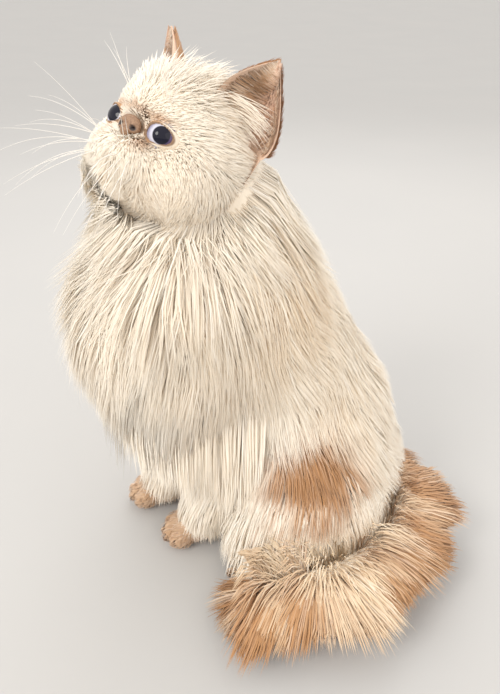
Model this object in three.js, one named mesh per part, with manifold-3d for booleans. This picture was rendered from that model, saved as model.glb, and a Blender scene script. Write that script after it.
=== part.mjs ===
// A long-haired cat with a short face, life size, sitting and looking up over its left shoulder.
// Millimetres, +Z up. The cat faces -Y and its left side is +X.
// The origin is on the floor, on the flat under the middle of the seat.
import * as THREE from "three";
import { mergeVertices } from "three/addons/utils/BufferGeometryUtils.js";
import Module from "manifold-3d";

const wasm = await Module();
wasm.setup();

// Driving sizes
const GAP = 0.3; // between pieces that touch
const LOCK_GAP = 0.4; // the same round a lock, whose sections turn with it
const ROOM = 1.1; // the same for a coarse copy of a piece, whose flats lie a little inside it
const JOIN = 9; // how sharply the masses run together
const CORE = 0.45; // how far out to the tips of the coat the solid core reaches
const SINK = 7; // how deep a lock is rooted in its core
const FLOOR_CLEAR = 0.6; // least height of a lock over the floor

const HEAD_AT = [-14, -101, 304];
const HEAD_TURN = 38; // degrees to its left
const HEAD_LIFT = 28; // degrees up
const HEAD_ROLL = 10; // degrees, left ear down

const deg = THREE.MathUtils.degToRad;
const clamp = THREE.MathUtils.clamp;
const ease = THREE.MathUtils.smoothstep;
const lerp = THREE.MathUtils.lerp;
const point = (x, y, z) => new THREE.Vector3(x, y, z);
const SIDES = { left: 1, right: -1 };

// A seeded random draw, the same at every run.
function dice(seed) {
  let state = seed;
  return () => {
    state = (state + 0x6d2b79f5) | 0;
    let t = Math.imul(state ^ (state >>> 15), 1 | state);
    t = (t + Math.imul(t ^ (t >>> 7), 61 | t)) ^ t;
    return ((t ^ (t >>> 14)) >>> 0) / 4294967296;
  };
}

// Solids

// A closed three.js geometry as a solid that can be joined and cut.
function solidOf(geometry) {
  const bare = geometry.index ? geometry.toNonIndexed() : geometry.clone();
  bare.deleteAttribute("normal");
  bare.deleteAttribute("uv");
  const merged = mergeVertices(bare, 1e-4);
  return new wasm.Manifold(
    new wasm.Mesh({
      numProp: 3,
      vertProperties: new Float32Array(merged.attributes.position.array),
      triVerts: new Uint32Array(merged.index.array),
    }),
  );
}

const joined = (solids) => wasm.Manifold.union(solids);
const without = (solid, others) => (others.length ? solid.subtract(joined(others)) : solid);

// The largest closed body of a solid: sealed hollows and loose scraps go.
function largest(solid) {
  return solid.decompose().reduce((a, b) => (b.volume() > a.volume() ? b : a));
}

function geometryOf(solid) {
  const mesh = solid.getMesh();
  const geometry = new THREE.BufferGeometry();
  geometry.setAttribute("position", new THREE.BufferAttribute(new Float32Array(mesh.vertProperties), 3));
  geometry.setIndex(new THREE.BufferAttribute(new Uint32Array(mesh.triVerts), 1));
  geometry.computeVertexNormals();
  return geometry;
}

// A closed solid from rings of points, with a pole at each end where one is given.
function solidOfRings(rings, first, last) {
  const positions = [];
  const face = (a, b, c) => positions.push(...a.toArray(), ...b.toArray(), ...c.toArray());
  const count = rings[0].length;
  const end = rings.length - 1;
  for (let k = 0; k < count; k += 1) {
    const n = (k + 1) % count;
    if (first) face(first, rings[0][k], rings[0][n]);
    if (last) face(last, rings[end][n], rings[end][k]);
    for (let i = 0; i < end; i += 1) {
      face(rings[i][k], rings[i + 1][n], rings[i][n]);
      face(rings[i][k], rings[i + 1][k], rings[i + 1][n]);
    }
  }
  const geometry = new THREE.BufferGeometry();
  geometry.setAttribute("position", new THREE.Float32BufferAttribute(positions, 3));
  return solidOf(geometry);
}

// A big block whose face passes through a place and that fills the side the direction points to.
function halfSpace(place, way, back = 0) {
  const size = 700;
  const to = way.clone().normalize();
  const block = new THREE.BoxGeometry(size, size, size);
  const turn = new THREE.Quaternion().setFromUnitVectors(point(0, 0, 1), to);
  const middle = place.clone().addScaledVector(to, size / 2 + back);
  block.applyMatrix4(new THREE.Matrix4().compose(middle, turn, point(1, 1, 1)));
  return solidOf(block);
}
const underFloor = halfSpace(point(0, 0, 0), point(0, 0, -1));

// Soft masses, joined in one field

// An ellipsoid of flesh: its middle, its half sizes, the depth of its coat and a lean about X in degrees.
function mass(x, y, z, rx, ry, rz, coat, lean = 0) {
  const unturn = new THREE.Quaternion().setFromAxisAngle(point(1, 0, 0), -deg(lean));
  return { at: point(x, y, z), r: point(rx, ry, rz), coat, unturn };
}

// Over 1 inside the common surface of the masses, each grown by a share of its coat plus a margin.
const local = new THREE.Vector3();
function sumAt(place, masses, share, margin = 0) {
  let sum = 0;
  for (const m of masses) {
    local.copy(place).sub(m.at).applyQuaternion(m.unturn);
    const g = m.coat * share + margin;
    const far = Math.hypot(local.x / (m.r.x + g), local.y / (m.r.y + g), local.z / (m.r.z + g));
    sum += Math.exp(JOIN * (1 - far));
  }
  return sum;
}

// The share of the coat at a place: 0 on the skin, 1 at the tips.
function shareAt(place, masses) {
  let low = -0.9;
  let high = 2.5;
  for (let i = 0; i < 22; i += 1) {
    const half = (low + high) / 2;
    if (sumAt(place, masses, half) > 1) high = half;
    else low = half;
  }
  return high;
}

// The way out of the coat at a place, and how fast the share grows along it.
function outOf(place, masses) {
  const d = 0.5;
  const at = (x, y, z) => shareAt(place.clone().add(point(x, y, z)), masses);
  const g = point(at(d, 0, 0) - at(-d, 0, 0), at(0, d, 0) - at(0, -d, 0), at(0, 0, d) - at(0, 0, -d));
  g.divideScalar(2 * d);
  const rate = Math.max(g.length(), 1e-4);
  return { way: g.divideScalar(rate), rate };
}

// Moves a place in or out until it lies at a share of the coat.
function toShare(place, share, masses) {
  for (let i = 0; i < 3; i += 1) {
    const { way, rate } = outOf(place, masses);
    place.addScaledVector(way, clamp((share - shareAt(place, masses)) / rate, -12, 12));
  }
  return place;
}

// How far out from a middle, along a direction, the common surface lies.
function reach(middle, way, masses, share, margin = 0) {
  const place = new THREE.Vector3();
  let near = 0;
  let far = 300;
  for (let i = 0; i < 26; i += 1) {
    const half = (near + far) / 2;
    place.copy(middle).addScaledVector(way, half);
    if (sumAt(place, masses, share, margin) > 1) near = half;
    else far = half;
  }
  return near;
}

// One closed skin over the masses: a ball whose points are pushed out along their rays.
// A lean draws its points together on one side, where the form is finer.
function wrap(middle, masses, share, margin, detail, lean = point(0, 0, 0)) {
  const ball = new THREE.IcosahedronGeometry(1, detail);
  const at = ball.attributes.position;
  const way = new THREE.Vector3();
  for (let i = 0; i < at.count; i += 1) {
    way.fromBufferAttribute(at, i).normalize().add(lean).normalize();
    const far = reach(middle, way, masses, share, margin);
    way.multiplyScalar(far).add(middle);
    at.setXYZ(i, way.x, way.y, way.z);
  }
  return solidOf(ball);
}

// A limb or tail: round sections carried along a smooth line, closed by a pole at each end.
function limb(line, radii, sides, steps, grow = 0) {
  const radiusAt = (t) => {
    const x = t * (radii.length - 1);
    const i = Math.min(Math.floor(x), radii.length - 2);
    return lerp(radii[i], radii[i + 1], ease(x - i, 0, 1)) + grow;
  };
  const side = new THREE.Vector3();
  const over = new THREE.Vector3();
  const rings = [];
  for (let i = 0; i <= steps; i += 1) {
    const t = i / steps;
    const middle = line.getPoint(t);
    const way = line.getTangent(t);
    side.crossVectors(way, point(0.05, 0.02, 1)).normalize();
    over.crossVectors(side, way).normalize();
    const r = radiusAt(t);
    rings.push(
      Array.from({ length: sides }, (_, k) => {
        const a = (k / sides) * Math.PI * 2;
        return middle.clone().addScaledVector(side, r * Math.cos(a)).addScaledVector(over, r * Math.sin(a));
      }),
    );
  }
  const first = line.getPoint(0).addScaledVector(line.getTangent(0), -radiusAt(0) * 0.45);
  const last = line.getPoint(1).addScaledVector(line.getTangent(1), radiusAt(1) * 0.45);
  return solidOfRings(rings, first, last);
}
const smooth = (places) => new THREE.CatmullRomCurve3(places, false, "centripetal");

// Locks of hair

// Sections along a lock, from root to tip, with its width and thickness at each.
const LONG_LOCK = {
  at: [0, 0.32, 0.62, 0.86, 1],
  wide: [0.72, 1, 0.86, 0.48],
  thick: [1, 1, 0.72, 0.42],
};
const SHORT_LOCK = { at: [0, 0.4, 0.76, 1], wide: [0.76, 1, 0.66], thick: [1, 1, 0.56] };

// A tapered lock along its places: flat underneath, with a low ridge along its outer side.
function lockSolid({ places, outs, wide, thick, form }, grow) {
  const rings = [];
  const side = new THREE.Vector3();
  const over = new THREE.Vector3();
  const way = new THREE.Vector3();
  const end = places.length - 1;
  for (let i = 0; i < end; i += 1) {
    way.subVectors(places[i + 1], places[Math.max(i - 1, 0)]).normalize();
    side.crossVectors(way, outs[i]).normalize();
    over.crossVectors(side, way).normalize();
    const h = thick * form.thick[i];
    const edge = Math.atan2(2 * h, wide * form.wide[i]);
    const w = (wide * form.wide[i]) / 2 + (grow * (1 + Math.cos(edge))) / Math.sin(edge);
    rings.push([
      places[i].clone().addScaledVector(side, w).addScaledVector(over, -0.3 * h - grow),
      places[i].clone().addScaledVector(over, 0.7 * h + grow * 1.5),
      places[i].clone().addScaledVector(side, -w).addScaledVector(over, -0.3 * h - grow),
    ]);
  }
  const beyond = (a, b, far) => a.clone().addScaledVector(way.subVectors(a, b).normalize(), far);
  const first = beyond(places[0], places[1], 0.5 + grow);
  const last = beyond(places[end], places[end - 1], grow * 3);
  return solidOfRings(rings, first, last);
}
function keepOffFloor(places, thick) {
  for (const p of places) p.z = Math.max(p.z, thick / 2 + FLOOR_CLEAR);
}

// Roots spread evenly over the core, as far from each other as spacing says where they lie.
function scatter(middle, masses, spacing, here, seed) {
  const draw = dice(seed);
  const roots = [];
  for (let i = 0; i < 2600; i += 1) {
    const z = 2 * draw() - 1;
    const a = 2 * Math.PI * draw();
    const flat = Math.sqrt(1 - z * z);
    const way = point(flat * Math.cos(a), flat * Math.sin(a), z);
    const place = way.clone().multiplyScalar(reach(middle, way, masses, CORE)).add(middle);
    if (!here(place)) continue;
    const apart = spacing(place);
    const clear = (r) => r.place.distanceTo(place) > (apart + r.apart) / 2;
    if (roots.every(clear)) roots.push({ place, apart });
  }
  return roots;
}

// Lays a lock from its root along the lie of the coat, rising from the core to the tips.
function layLock(root, masses, lie, look, draw) {
  const start = root.place.clone();
  const { way } = outOf(start, masses);
  const { long, rise, wide, thick, tip, form = SHORT_LOCK } = look(start);
  const length = long * (0.86 + 0.28 * draw());
  const swerve = (draw() - 0.5) * 0.35;
  const places = [start.clone().addScaledVector(way, -SINK)];
  const outs = [way.clone()];
  const at = start.clone();
  const end = tip + 0.1 * (draw() - 0.5);
  for (let i = 1; i < form.at.length; i += 1) {
    const step = length * (form.at[i] - form.at[i - 1]);
    const out = outOf(at, masses).way;
    const to = lie(at);
    to.addScaledVector(out, -to.dot(out)).normalize();
    to.addScaledVector(new THREE.Vector3().crossVectors(out, to), swerve).normalize();
    at.addScaledVector(to, step);
    toShare(at, lerp(CORE, end, Math.pow(form.at[i], rise)), masses);
    places.push(at.clone());
    outs.push(outOf(at, masses).way);
  }
  keepOffFloor(places, thick);
  return { places, outs, wide: wide * (0.9 + 0.2 * draw()), thick, form };
}

// A free lock on a bent line between two places, its flat side facing a given way.
function freeLock(from, to, bend, out, wide, thick) {
  const middle = from.clone().add(to).multiplyScalar(0.5).add(bend);
  const curve = new THREE.QuadraticBezierCurve3(from, middle, to);
  const places = SHORT_LOCK.at.map((t) => curve.getPoint(t));
  keepOffFloor(places, thick);
  return { places, outs: places.map(() => out), wide, thick, form: SHORT_LOCK };
}

// The body and its coat

const bodyMasses = [
  mass(0, -2, 58, 57, 55, 56, 15), // rump
  mass(-2, -12, 108, 50, 54, 58, 15), // loin
  mass(-7, -36, 158, 46, 46, 56, 17, 14), // ribs
  mass(-12, -50, 196, 42, 38, 38, 19), // shoulders
  mass(44, -18, 56, 31, 45, 44, 15), // left thigh
  mass(-44, -18, 56, 31, 45, 44, 15), // right thigh
  mass(-14, -66, 214, 39, 34, 34, 30), // neck, low
  mass(-15, -78, 250, 37, 30, 28, 29), // neck, high
  mass(-17, -66, 278, 30, 22, 24, 20), // nape
  mass(-13, -98, 228, 27, 25, 26, 46), // throat
  mass(-12, -102, 188, 26, 26, 34, 58), // breast
];
const MIDDLE = { torso: point(-3, -30, 116), neck: point(-14, -80, 240), chest: point(-12, -98, 192) };
const NECK_CUT = { at: point(-8, -70, 214), way: point(0.02, -0.35, 1).normalize() };
const CHEST_CUT = { at: point(-12, -92, 180), way: point(0, -1, 0.15).normalize() };
const past = (cut, place) => place.clone().sub(cut.at).dot(cut.way);

// The places behind the cheeks that the ruff's hair spreads from.
const HAIR_FROM = { left: point(22, -66, 286), right: point(-50, -66, 286) };

// The lie of the coat: down and a little back on the body, out from behind the cheeks on the ruff.
function bodyLie(p) {
  const ruff = ease(p.z, 120, 205) * ease(-p.y, 20, 90);
  const near = p.x > -14 ? HAIR_FROM.left : HAIR_FROM.right;
  const spread = p.clone().sub(near).normalize();
  const down = point(0, 0.22 * (1 - ruff), -1);
  return down.multiplyScalar(1 - 0.7 * ruff).addScaledVector(spread, ruff);
}

const LOOK = {
  neck: (p) => {
    const wide = lerp(27, 21, ease(-p.y, 70, 120));
    return { long: 60, rise: 0.9, wide, thick: 5, tip: 1, form: LONG_LOCK };
  },
  chest: () => ({ long: 66, rise: 0.8, wide: 20, thick: 5.5, tip: 1.03, form: LONG_LOCK }),
  torso: () => ({ long: 64, rise: 0.9, wide: 31, thick: 4.5, tip: 1.0 }),
  thigh: () => ({ long: 46, rise: 0.9, wide: 25, thick: 4, tip: 1.0 }),
};
// How far apart the roots lie: closer at the front of the ruff than on the back.
const SPACING = {
  neck: (p) => lerp(31, 23, Math.max(ease(-p.y, 70, 120), 1 - ease(past(NECK_CUT, p), 10, 28))),
  chest: () => 23,
  torso: () => 38,
  thigh: () => 30,
};

// The parting of each thigh from the torso: a round cut across the body.
const THIGH = { y: -16, z: 50, r: 54, x: 26 };
function thighBlock(sign, grow) {
  const post = new THREE.CylinderGeometry(THIGH.r + grow, THIGH.r + grow, 140, 24);
  post.rotateZ(Math.PI / 2);
  post.translate(sign * (THIGH.x - grow + 70), THIGH.y, THIGH.z);
  return solidOf(post);
}
const inThigh = (p) => Math.abs(p.x) > THIGH.x && Math.hypot(p.y - THIGH.y, p.z - THIGH.z) < THIGH.r;

function bodyLocks(name, middle, here, seed) {
  const draw = dice(seed * 7 + 1);
  const look = LOOK[name];
  return scatter(middle, bodyMasses, SPACING[name], here, seed).map((root) =>
    layLock(root, wholeMasses, bodyLie, look, draw),
  );
}

// The head

const headPlace = new THREE.Matrix4().compose(
  point(...HEAD_AT),
  new THREE.Quaternion().setFromEuler(
    new THREE.Euler(-deg(HEAD_LIFT), deg(HEAD_ROLL), deg(HEAD_TURN), "ZXY"),
  ),
  point(1, 1, 1),
);
const headWay = (x, y, z) => point(x, y, z).transformDirection(headPlace);
const inHead = (x, y, z) => point(x, y, z).applyMatrix4(headPlace);
const setInHead = (solid) => solid.transform(headPlace.elements);

// In the head's own frame: -Y is where the face looks, +X its left.
const headMasses = [
  mass(0, 7, 7, 40, 40, 35, 15), // cranium
  mass(0, -17, 20, 28, 19, 18, 8), // brow
  mass(26, -8, -14, 21, 24, 21, 10), // left cheek
  mass(-26, -8, -14, 21, 24, 21, 10), // right cheek
  mass(9.5, -34, -13, 12, 12, 11, 2), // left lip pad
  mass(-9.5, -34, -13, 12, 12, 11, 2), // right lip pad
  mass(0, -34, 4, 7, 7, 7, 1), // nose
  mass(0, -29, -26, 12, 11, 8.5, 4), // chin
  mass(0, -3, -23, 27, 29, 17, 12), // jaw
];
const HEAD_MIDDLE = point(0, -3, 0);
const headUnturn = new THREE.Quaternion().setFromRotationMatrix(headPlace).invert();
const wholeMasses = [
  ...bodyMasses,
  ...headMasses.map((m) => ({ ...m, at: m.at.clone().applyMatrix4(headPlace), unturn: headUnturn })),
];
const HEAD_SHARE = 0.35;
const FACE_LEAN = point(0, -0.42, 0);
const headSolid = (grow) => setInHead(wrap(HEAD_MIDDLE, headMasses, HEAD_SHARE, grow, 6, FACE_LEAN));
const headRoom = () => setInHead(wrap(HEAD_MIDDLE, headMasses, HEAD_SHARE, ROOM, 3));

const EYE = { x: 20, y: -25.5, z: 6, r: 11, out: 22, up: 4 };
const LID = { wide: 8.8, high: 6.7, rim: 1.5 };

function eyeSolid(sign, grow) {
  const ball = new THREE.SphereGeometry(EYE.r + grow, 12, 7);
  ball.translate(sign * EYE.x, EYE.y, EYE.z);
  return setInHead(solidOf(ball));
}

// Both lids of an eye: a rounded rim laid on the ball round the opening.
function lidSolid(sign) {
  const ring = new THREE.TorusGeometry(1, 0.2, 3, 14);
  const at = ring.attributes.position;
  for (let i = 0; i < at.count; i += 1) {
    const x = at.getX(i) * LID.wide;
    const z = at.getY(i) * LID.high;
    const ball = EYE.r + 0.3;
    const y = -Math.sqrt(Math.max(ball * ball - x * x - z * z, 1)) - at.getZ(i) * 5 * LID.rim;
    at.setXYZ(i, x, y, z);
  }
  ring.rotateX(-deg(EYE.up));
  ring.rotateZ(sign * deg(EYE.out));
  ring.translate(sign * EYE.x, EYE.y, EYE.z);
  return setInHead(solidOf(ring));
}

// The nose leather, with a nostril on each side.
const NOSE = { y: -41, z: 4, half: 6.2, high: 4.6, deep: 5 };
function noseSolid(grow) {
  const pad = wrap(
    point(0, NOSE.y + 2, NOSE.z),
    [
      mass(0, NOSE.y + 2, NOSE.z + 0.6, NOSE.half, NOSE.deep, NOSE.high, 0),
      mass(0, NOSE.y + 2, NOSE.z - 2.6, 3.2, NOSE.deep - 0.4, 3.2, 0),
    ],
    0,
    grow,
    1,
  );
  if (grow > 0) return setInHead(pad);
  const nostrils = [1, -1].map((sign) => {
    const hole = new THREE.SphereGeometry(1, 6, 4);
    hole.scale(1.9, 2.6, 1.2);
    hole.rotateY(sign * deg(24));
    hole.translate(sign * 3.4, NOSE.y - 3, NOSE.z - 0.6);
    return solidOf(hole);
  });
  return setInHead(pad.subtract(joined(nostrils)));
}

// The line of the mouth: a groove down from the nose that parts to both sides over the chin.
function mouthSolid() {
  const onFace = (x, z) => {
    const way = point(x, -44 + Math.abs(x) * 0.35, z).sub(HEAD_MIDDLE).normalize();
    return way.multiplyScalar(reach(HEAD_MIDDLE, way, headMasses, HEAD_SHARE) + 0.2).add(HEAD_MIDDLE);
  };
  const lip = (sign) =>
    limb(smooth([onFace(0, -19), onFace(sign * 7, -22.5), onFace(sign * 15, -22)]), [1, 1.5, 0.9], 4, 3);
  const split = limb(smooth([onFace(0, -1), onFace(0, -9), onFace(0, -19)]), [0.9, 1, 1.1], 4, 2);
  return setInHead(joined([lip(1), lip(-1), split]));
}

// The hair of the head lies back from the nose, and falls into that of the neck behind the cheeks.
const headLocal = (p) => p.clone().applyMatrix4(headPlace.clone().invert());
function headLie(p) {
  const q = headLocal(p);
  const back = headWay(q.x * 1.1, q.y + 46, (q.z - 2) * 0.9 - 6);
  const fall = ease(-q.z, 14, 46);
  return back.multiplyScalar(1 - 0.8 * fall).addScaledVector(bodyLie(p), fall);
}
const HEAD_LOOK = (p) => {
  const cheek = ease(-headLocal(p).z, -8, 14);
  return { long: lerp(26, 44, cheek), rise: 0.8, wide: lerp(17, 22, cheek), thick: 4, tip: 1.08 };
};
function headLocks() {
  const draw = dice(401);
  const crown = (p) => p.z > 14 && p.y > -18 && p.y < 34 && Math.abs(Math.abs(p.x) - 36) > 17;
  const cheeks = (p) => p.z < 6 && p.z > -34 && p.y > -18 && p.y < 20 && Math.abs(p.x) > 20;
  const jaw = (p) => p.z < -30 && p.y > -14 && p.y < 8;
  const nape = (p) => p.y > 30 && p.z < 22 && p.z > -12 && Math.abs(p.x) < 30;
  const here = (p) => crown(p) || cheeks(p) || jaw(p) || nape(p);
  const roots = scatter(HEAD_MIDDLE, headMasses, () => 21, here, 402);
  return roots.map(({ place, apart }) =>
    layLock({ place: place.applyMatrix4(headPlace), apart }, wholeMasses, headLie, HEAD_LOOK, draw),
  );
}

// The ears

// Corners of the left ear in the head's frame: front foot, outer foot and tip, and how deep its cup is.
const EAR = {
  front: point(22, -6, 40),
  outer: point(53, 15, 18),
  tip: point(47, 2, 70),
  deep: 15,
  wall: 2.4,
  bow: { front: 3, outer: 9 },
  root: 0.42,
};
const earMiddle = EAR.front.clone().add(EAR.outer).multiplyScalar(0.5);
const earAcross = EAR.outer.clone().sub(EAR.front).normalize();
const earUp = EAR.tip.clone().sub(earMiddle).normalize();
const earBack = new THREE.Vector3().crossVectors(earUp, earAcross).normalize();
const earFlat = new THREE.Vector3().crossVectors(earAcross, earBack).negate().normalize();

// A place on the ear: across from -1 (front edge) to 1 (outer edge), up from 0 (foot) to 1 (tip).
function earPlace(across, up, back) {
  const t = clamp(up, 0, 1);
  const edge = (foot, bow, sign) =>
    foot
      .clone()
      .lerp(EAR.tip, t)
      .addScaledVector(earAcross, sign * bow * Math.sin(Math.PI * Math.pow(t, 0.8)))
      .addScaledVector(earUp, Math.min(up, 0) * 44);
  const a = edge(EAR.front, EAR.bow.front, -1);
  const b = edge(EAR.outer, EAR.bow.outer, 1);
  const cup = EAR.deep * Math.pow(1 - t, 0.6) * (1 + 0.25 * Math.sin(Math.PI * t));
  const round = Math.sqrt(Math.max(1 - across * across, 0));
  return a.lerp(b, (across + 1) / 2).addScaledVector(earBack, cup * round + back);
}

function earSolid(sign) {
  const levels = [-EAR.root, -0.15, 0.08, 0.28, 0.48, 0.66, 0.82, 0.94, 1];
  const across = 6;
  const rings = levels.map((up) => {
    const wall = EAR.wall * (1 - 0.45 * clamp(up, 0, 1));
    const at = (k) => -Math.cos((Math.PI * k) / across);
    const inner = Array.from({ length: across + 1 }, (_, k) => earPlace(at(k) * 0.94, up, -wall / 2));
    const outer = Array.from({ length: across + 1 }, (_, k) => earPlace(at(k), up, wall / 2));
    return [...inner, ...outer.reverse()];
  });
  const mid = (ring) => ring.reduce((sum, p) => sum.add(p), point(0, 0, 0)).divideScalar(ring.length);
  const positions = [];
  const face = (a, b, c) => positions.push(...a.toArray(), ...b.toArray(), ...c.toArray());
  const count = rings[0].length;
  const top = rings.length - 1;
  for (let i = 0; i < top; i += 1)
    for (let k = 0; k < count; k += 1) {
      const n = (k + 1) % count;
      face(rings[i][k], rings[i][n], rings[i + 1][n]);
      face(rings[i][k], rings[i + 1][n], rings[i + 1][k]);
    }
  for (let k = 0; k < across; k += 1) {
    const far = count - 1 - k;
    for (const [ring, flip] of [[rings[0], false], [rings[top], true]]) {
      const quad = [ring[k], ring[k + 1], ring[far - 1], ring[far]];
      if (flip) quad.reverse();
      face(quad[0], quad[2], quad[1]);
      face(quad[0], quad[3], quad[2]);
    }
  }
  const geometry = new THREE.BufferGeometry();
  geometry.setAttribute("position", new THREE.Float32BufferAttribute(positions, 3));
  let made = solidOf(geometry);
  if (made.volume() < 0) throw new Error("ear inside out");
  if (sign < 0) made = made.mirror([1, 0, 0]);
  return setInHead(made);
}

// The long hair that crosses the opening of an ear from its front edge.
function earLocks(sign) {
  const plans = [
    [0.2, 0.06, 9, 8],
    [0.34, 0.18, 9, 7],
    [0.5, 0.32, 7, 6],
  ].map(([up, end, wide, out]) => {
    const from = earPlace(-0.85, up, 0);
    const to = earPlace(0.72, end, -EAR.deep * 0.55);
    const bend = earBack.clone().multiplyScalar(-out).addScaledVector(earUp, 3);
    return freeLock(from, to, bend, earBack.clone().negate(), wide, 2.6);
  });
  for (const plan of plans) {
    for (const p of plan.places) if (sign < 0) p.x *= -1;
    plan.outs = plan.outs.map((o) => point(sign * o.x, o.y, o.z));
    plan.places.forEach((p) => p.applyMatrix4(headPlace));
    plan.outs.forEach((o) => o.transformDirection(headPlace));
  }
  return plans;
}

// The legs and paws

const FORELEG = {
  left: { paw: [8, -104], shoulder: [16, -70, 122], turn: 4 },
  right: { paw: [-41, -128], shoulder: [-40, -78, 122], turn: -4 },
};

function forelegLine({ paw: [x, y], shoulder: [sx, sy, sz] }) {
  return smooth([point(sx, sy, sz), point(sx, sy - 4, 88), point(x, y + 8, 40), point(x, y + 6, 18)]);
}
const forelegSolid = (leg, grow) => limb(forelegLine(leg), [22, 20, 18, 17], 10, 6, grow);

// Feathers of long hair on the back and sides of a foreleg.
function forelegLocks(leg, seed) {
  const draw = dice(seed);
  const line = forelegLine(leg);
  const plans = [];
  [0.36, 0.6].forEach((t, row) => {
    const middle = line.getPoint(t);
    for (let i = 0; i < 5; i += 1) {
      const a = deg(-90 + 72 * (i + 0.5 * (row % 2)) + 12 * (draw() - 0.5));
      const out = point(Math.cos(a), Math.sin(a), 0);
      const from = middle.clone().addScaledVector(out, 12);
      const low = lerp(10, 20, draw());
      const to = line.getPoint(Math.min(t + 0.42, 1)).clone();
      to.addScaledVector(out, 28 + 3 * draw());
      to.z = Math.max(middle.z - 46, low);
      plans.push(freeLock(from, to, out.clone().multiplyScalar(9), out, 19, 4.5));
    }
  });
  return plans;
}

function footSolid(x, y, turn, hind, grow) {
  const masses = [hind ? mass(0, 22, 14, 15, 38, 15, 0) : mass(0, 2, 14, 17.5, 22, 15, 0)];
  const row = hind ? -26 : -17;
  [-11.5, -4, 4, 11.5].forEach((toe, i) => {
    const back = i === 0 || i === 3 ? 5 : 0;
    masses.push(mass(toe, row + back, 9, 6.6, 10.5, 10, 0));
  });
  const made = wrap(point(0, 0, 10), masses, 0, grow, 3, point(0, -0.5, 0.1));
  return made.rotate([0, 0, turn]).translate([x, y, 0]);
}
const HINDFOOT = { x: 60, y: -50, turn: 6 };

// The tail

const tailLine = smooth([
  point(4, 44, 40),
  point(34, 60, 34),
  point(64, 48, 28),
  point(86, 16, 24),
  point(97, -28, 21),
  point(92, -70, 17),
]);
const TAIL_CORE = [20, 22, 21, 21, 20, 14];
const TAIL_HAIR = 44;
const TAIL_CUTS = [0.4, 0.7];
const tailSolid = (grow) => limb(tailLine, TAIL_CORE, 10, 12, grow);

function tailLocks() {
  const draw = dice(81);
  const plans = [];
  const rows = 8;
  for (let i = 0; i < rows; i += 1) {
    const t = 0.12 + (0.84 * i) / (rows - 1);
    const middle = tailLine.getPoint(t);
    const way = tailLine.getTangent(t);
    const outward = point(way.y, -way.x, 0).normalize();
    if (outward.dot(point(middle.x, middle.y + 10, 0)) < 0) outward.negate();
    const core = lerp(21, 15, ease(t, 0.8, 1));
    const fan = lerp(0.5, 1, ease(t, 0.2, 0.75));
    for (let k = 0; k < 4; k += 1) {
      const a = deg(-10 + 40 * (k + 0.5 * (i % 2)) + 8 * (draw() - 0.5));
      const out = outward.clone().multiplyScalar(Math.cos(a)).add(point(0, 0, Math.sin(a)));
      const aside = lerp(0.42, 1, Math.pow(Math.max(Math.cos(a), 0), 0.8));
      const hair = TAIL_HAIR * fan * aside * (0.92 + 0.16 * draw());
      const from = middle.clone().addScaledVector(out, core - SINK);
      const to = middle.clone().addScaledVector(out, core * 0.5 + hair);
      to.addScaledVector(way, 30 + 12 * draw());
      to.z = Math.max(to.z - 6 * Math.cos(a), 3);
      const bend = out.clone().multiplyScalar(7).add(point(0, 0, 3));
      const flat = point(0, 0, 1).addScaledVector(out, 0.9).normalize();
      plans.push({ t, ...freeLock(from, to, bend, flat, 25, 4.5) });
    }
  }
  for (let k = 0; k < 5; k += 1) {
    const middle = tailLine.getPoint(0.97);
    const out = tailLine.getTangent(1).applyAxisAngle(point(0, 0, 1), deg(-56 + 28 * k));
    const from = middle.clone().addScaledVector(out, 4);
    const to = middle.clone().addScaledVector(out, 42 + 8 * draw());
    to.z = 5 + 8 * (k % 2);
    plans.push({ t: 0.99, ...freeLock(from, to, point(0, 0, 8), point(0, 0, 1), 24, 5) });
  }
  return plans;
}

// The nodes, in the order in which they are cut clear of each other

const group = new THREE.Group();
const CREAM = [0.86, 0.79, 0.69];
const FLAME = [0.61, 0.42, 0.26];

// A lock grows only where its root stands in the core that is left to the node.
const rootProbe = solidOf(new THREE.OctahedronGeometry(1.2));
function rooted(ground, plan) {
  const probe = rootProbe.translate(plan.places[0].toArray());
  return probe.intersect(ground).volume() > 0.4 * probe.volume();
}

// Not so sharply bent that it would cross itself, or leave the room that is kept round it.
function even(plan) {
  const lock = lockSolid(plan, 0);
  const room = lockSolid(plan, LOCK_GAP);
  return Math.abs(lock.subtract(room).volume()) < 1e-3 && room.volume() > lock.volume();
}

// A node: its core and locks, cut clear of all that was made before it, and of the floor.
// What is made later keeps clear of it by the gap.
let taken = underFloor;
function node(name, core, coreGrown, plans, colour, rough = 0.9) {
  const ground = largest(core.subtract(taken));
  const kept = plans.filter((plan) => rooted(ground, plan) && even(plan));
  const locks = kept.map((plan) => lockSolid(plan, 0));
  const made = largest(joined([core, ...locks]).subtract(taken));
  const material = new THREE.MeshStandardMaterial({ color: new THREE.Color(...colour), roughness: rough });
  const mesh = new THREE.Mesh(geometryOf(made), material);
  mesh.name = name;
  group.add(mesh);
  taken = joined([taken, coreGrown, ...kept.map((plan) => lockSolid(plan, LOCK_GAP))]);
}

for (const [name, sign] of Object.entries(SIDES)) {
  node("eye_" + name, eyeSolid(sign, 0), eyeSolid(sign, GAP), [], [0.16, 0.19, 0.3], 0.15);
}
node("nose", noseSolid(0), noseSolid(GAP), [], [0.45, 0.24, 0.18], 0.5);

const headCore = joined([headSolid(0), lidSolid(1), lidSolid(-1)]).subtract(mouthSolid());
node("head", headCore, headRoom(), headLocks(), CREAM);

for (const [name, sign] of Object.entries(SIDES)) {
  node("ear_" + name, earSolid(sign), earSolid(sign), earLocks(sign), FLAME);
}

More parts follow.
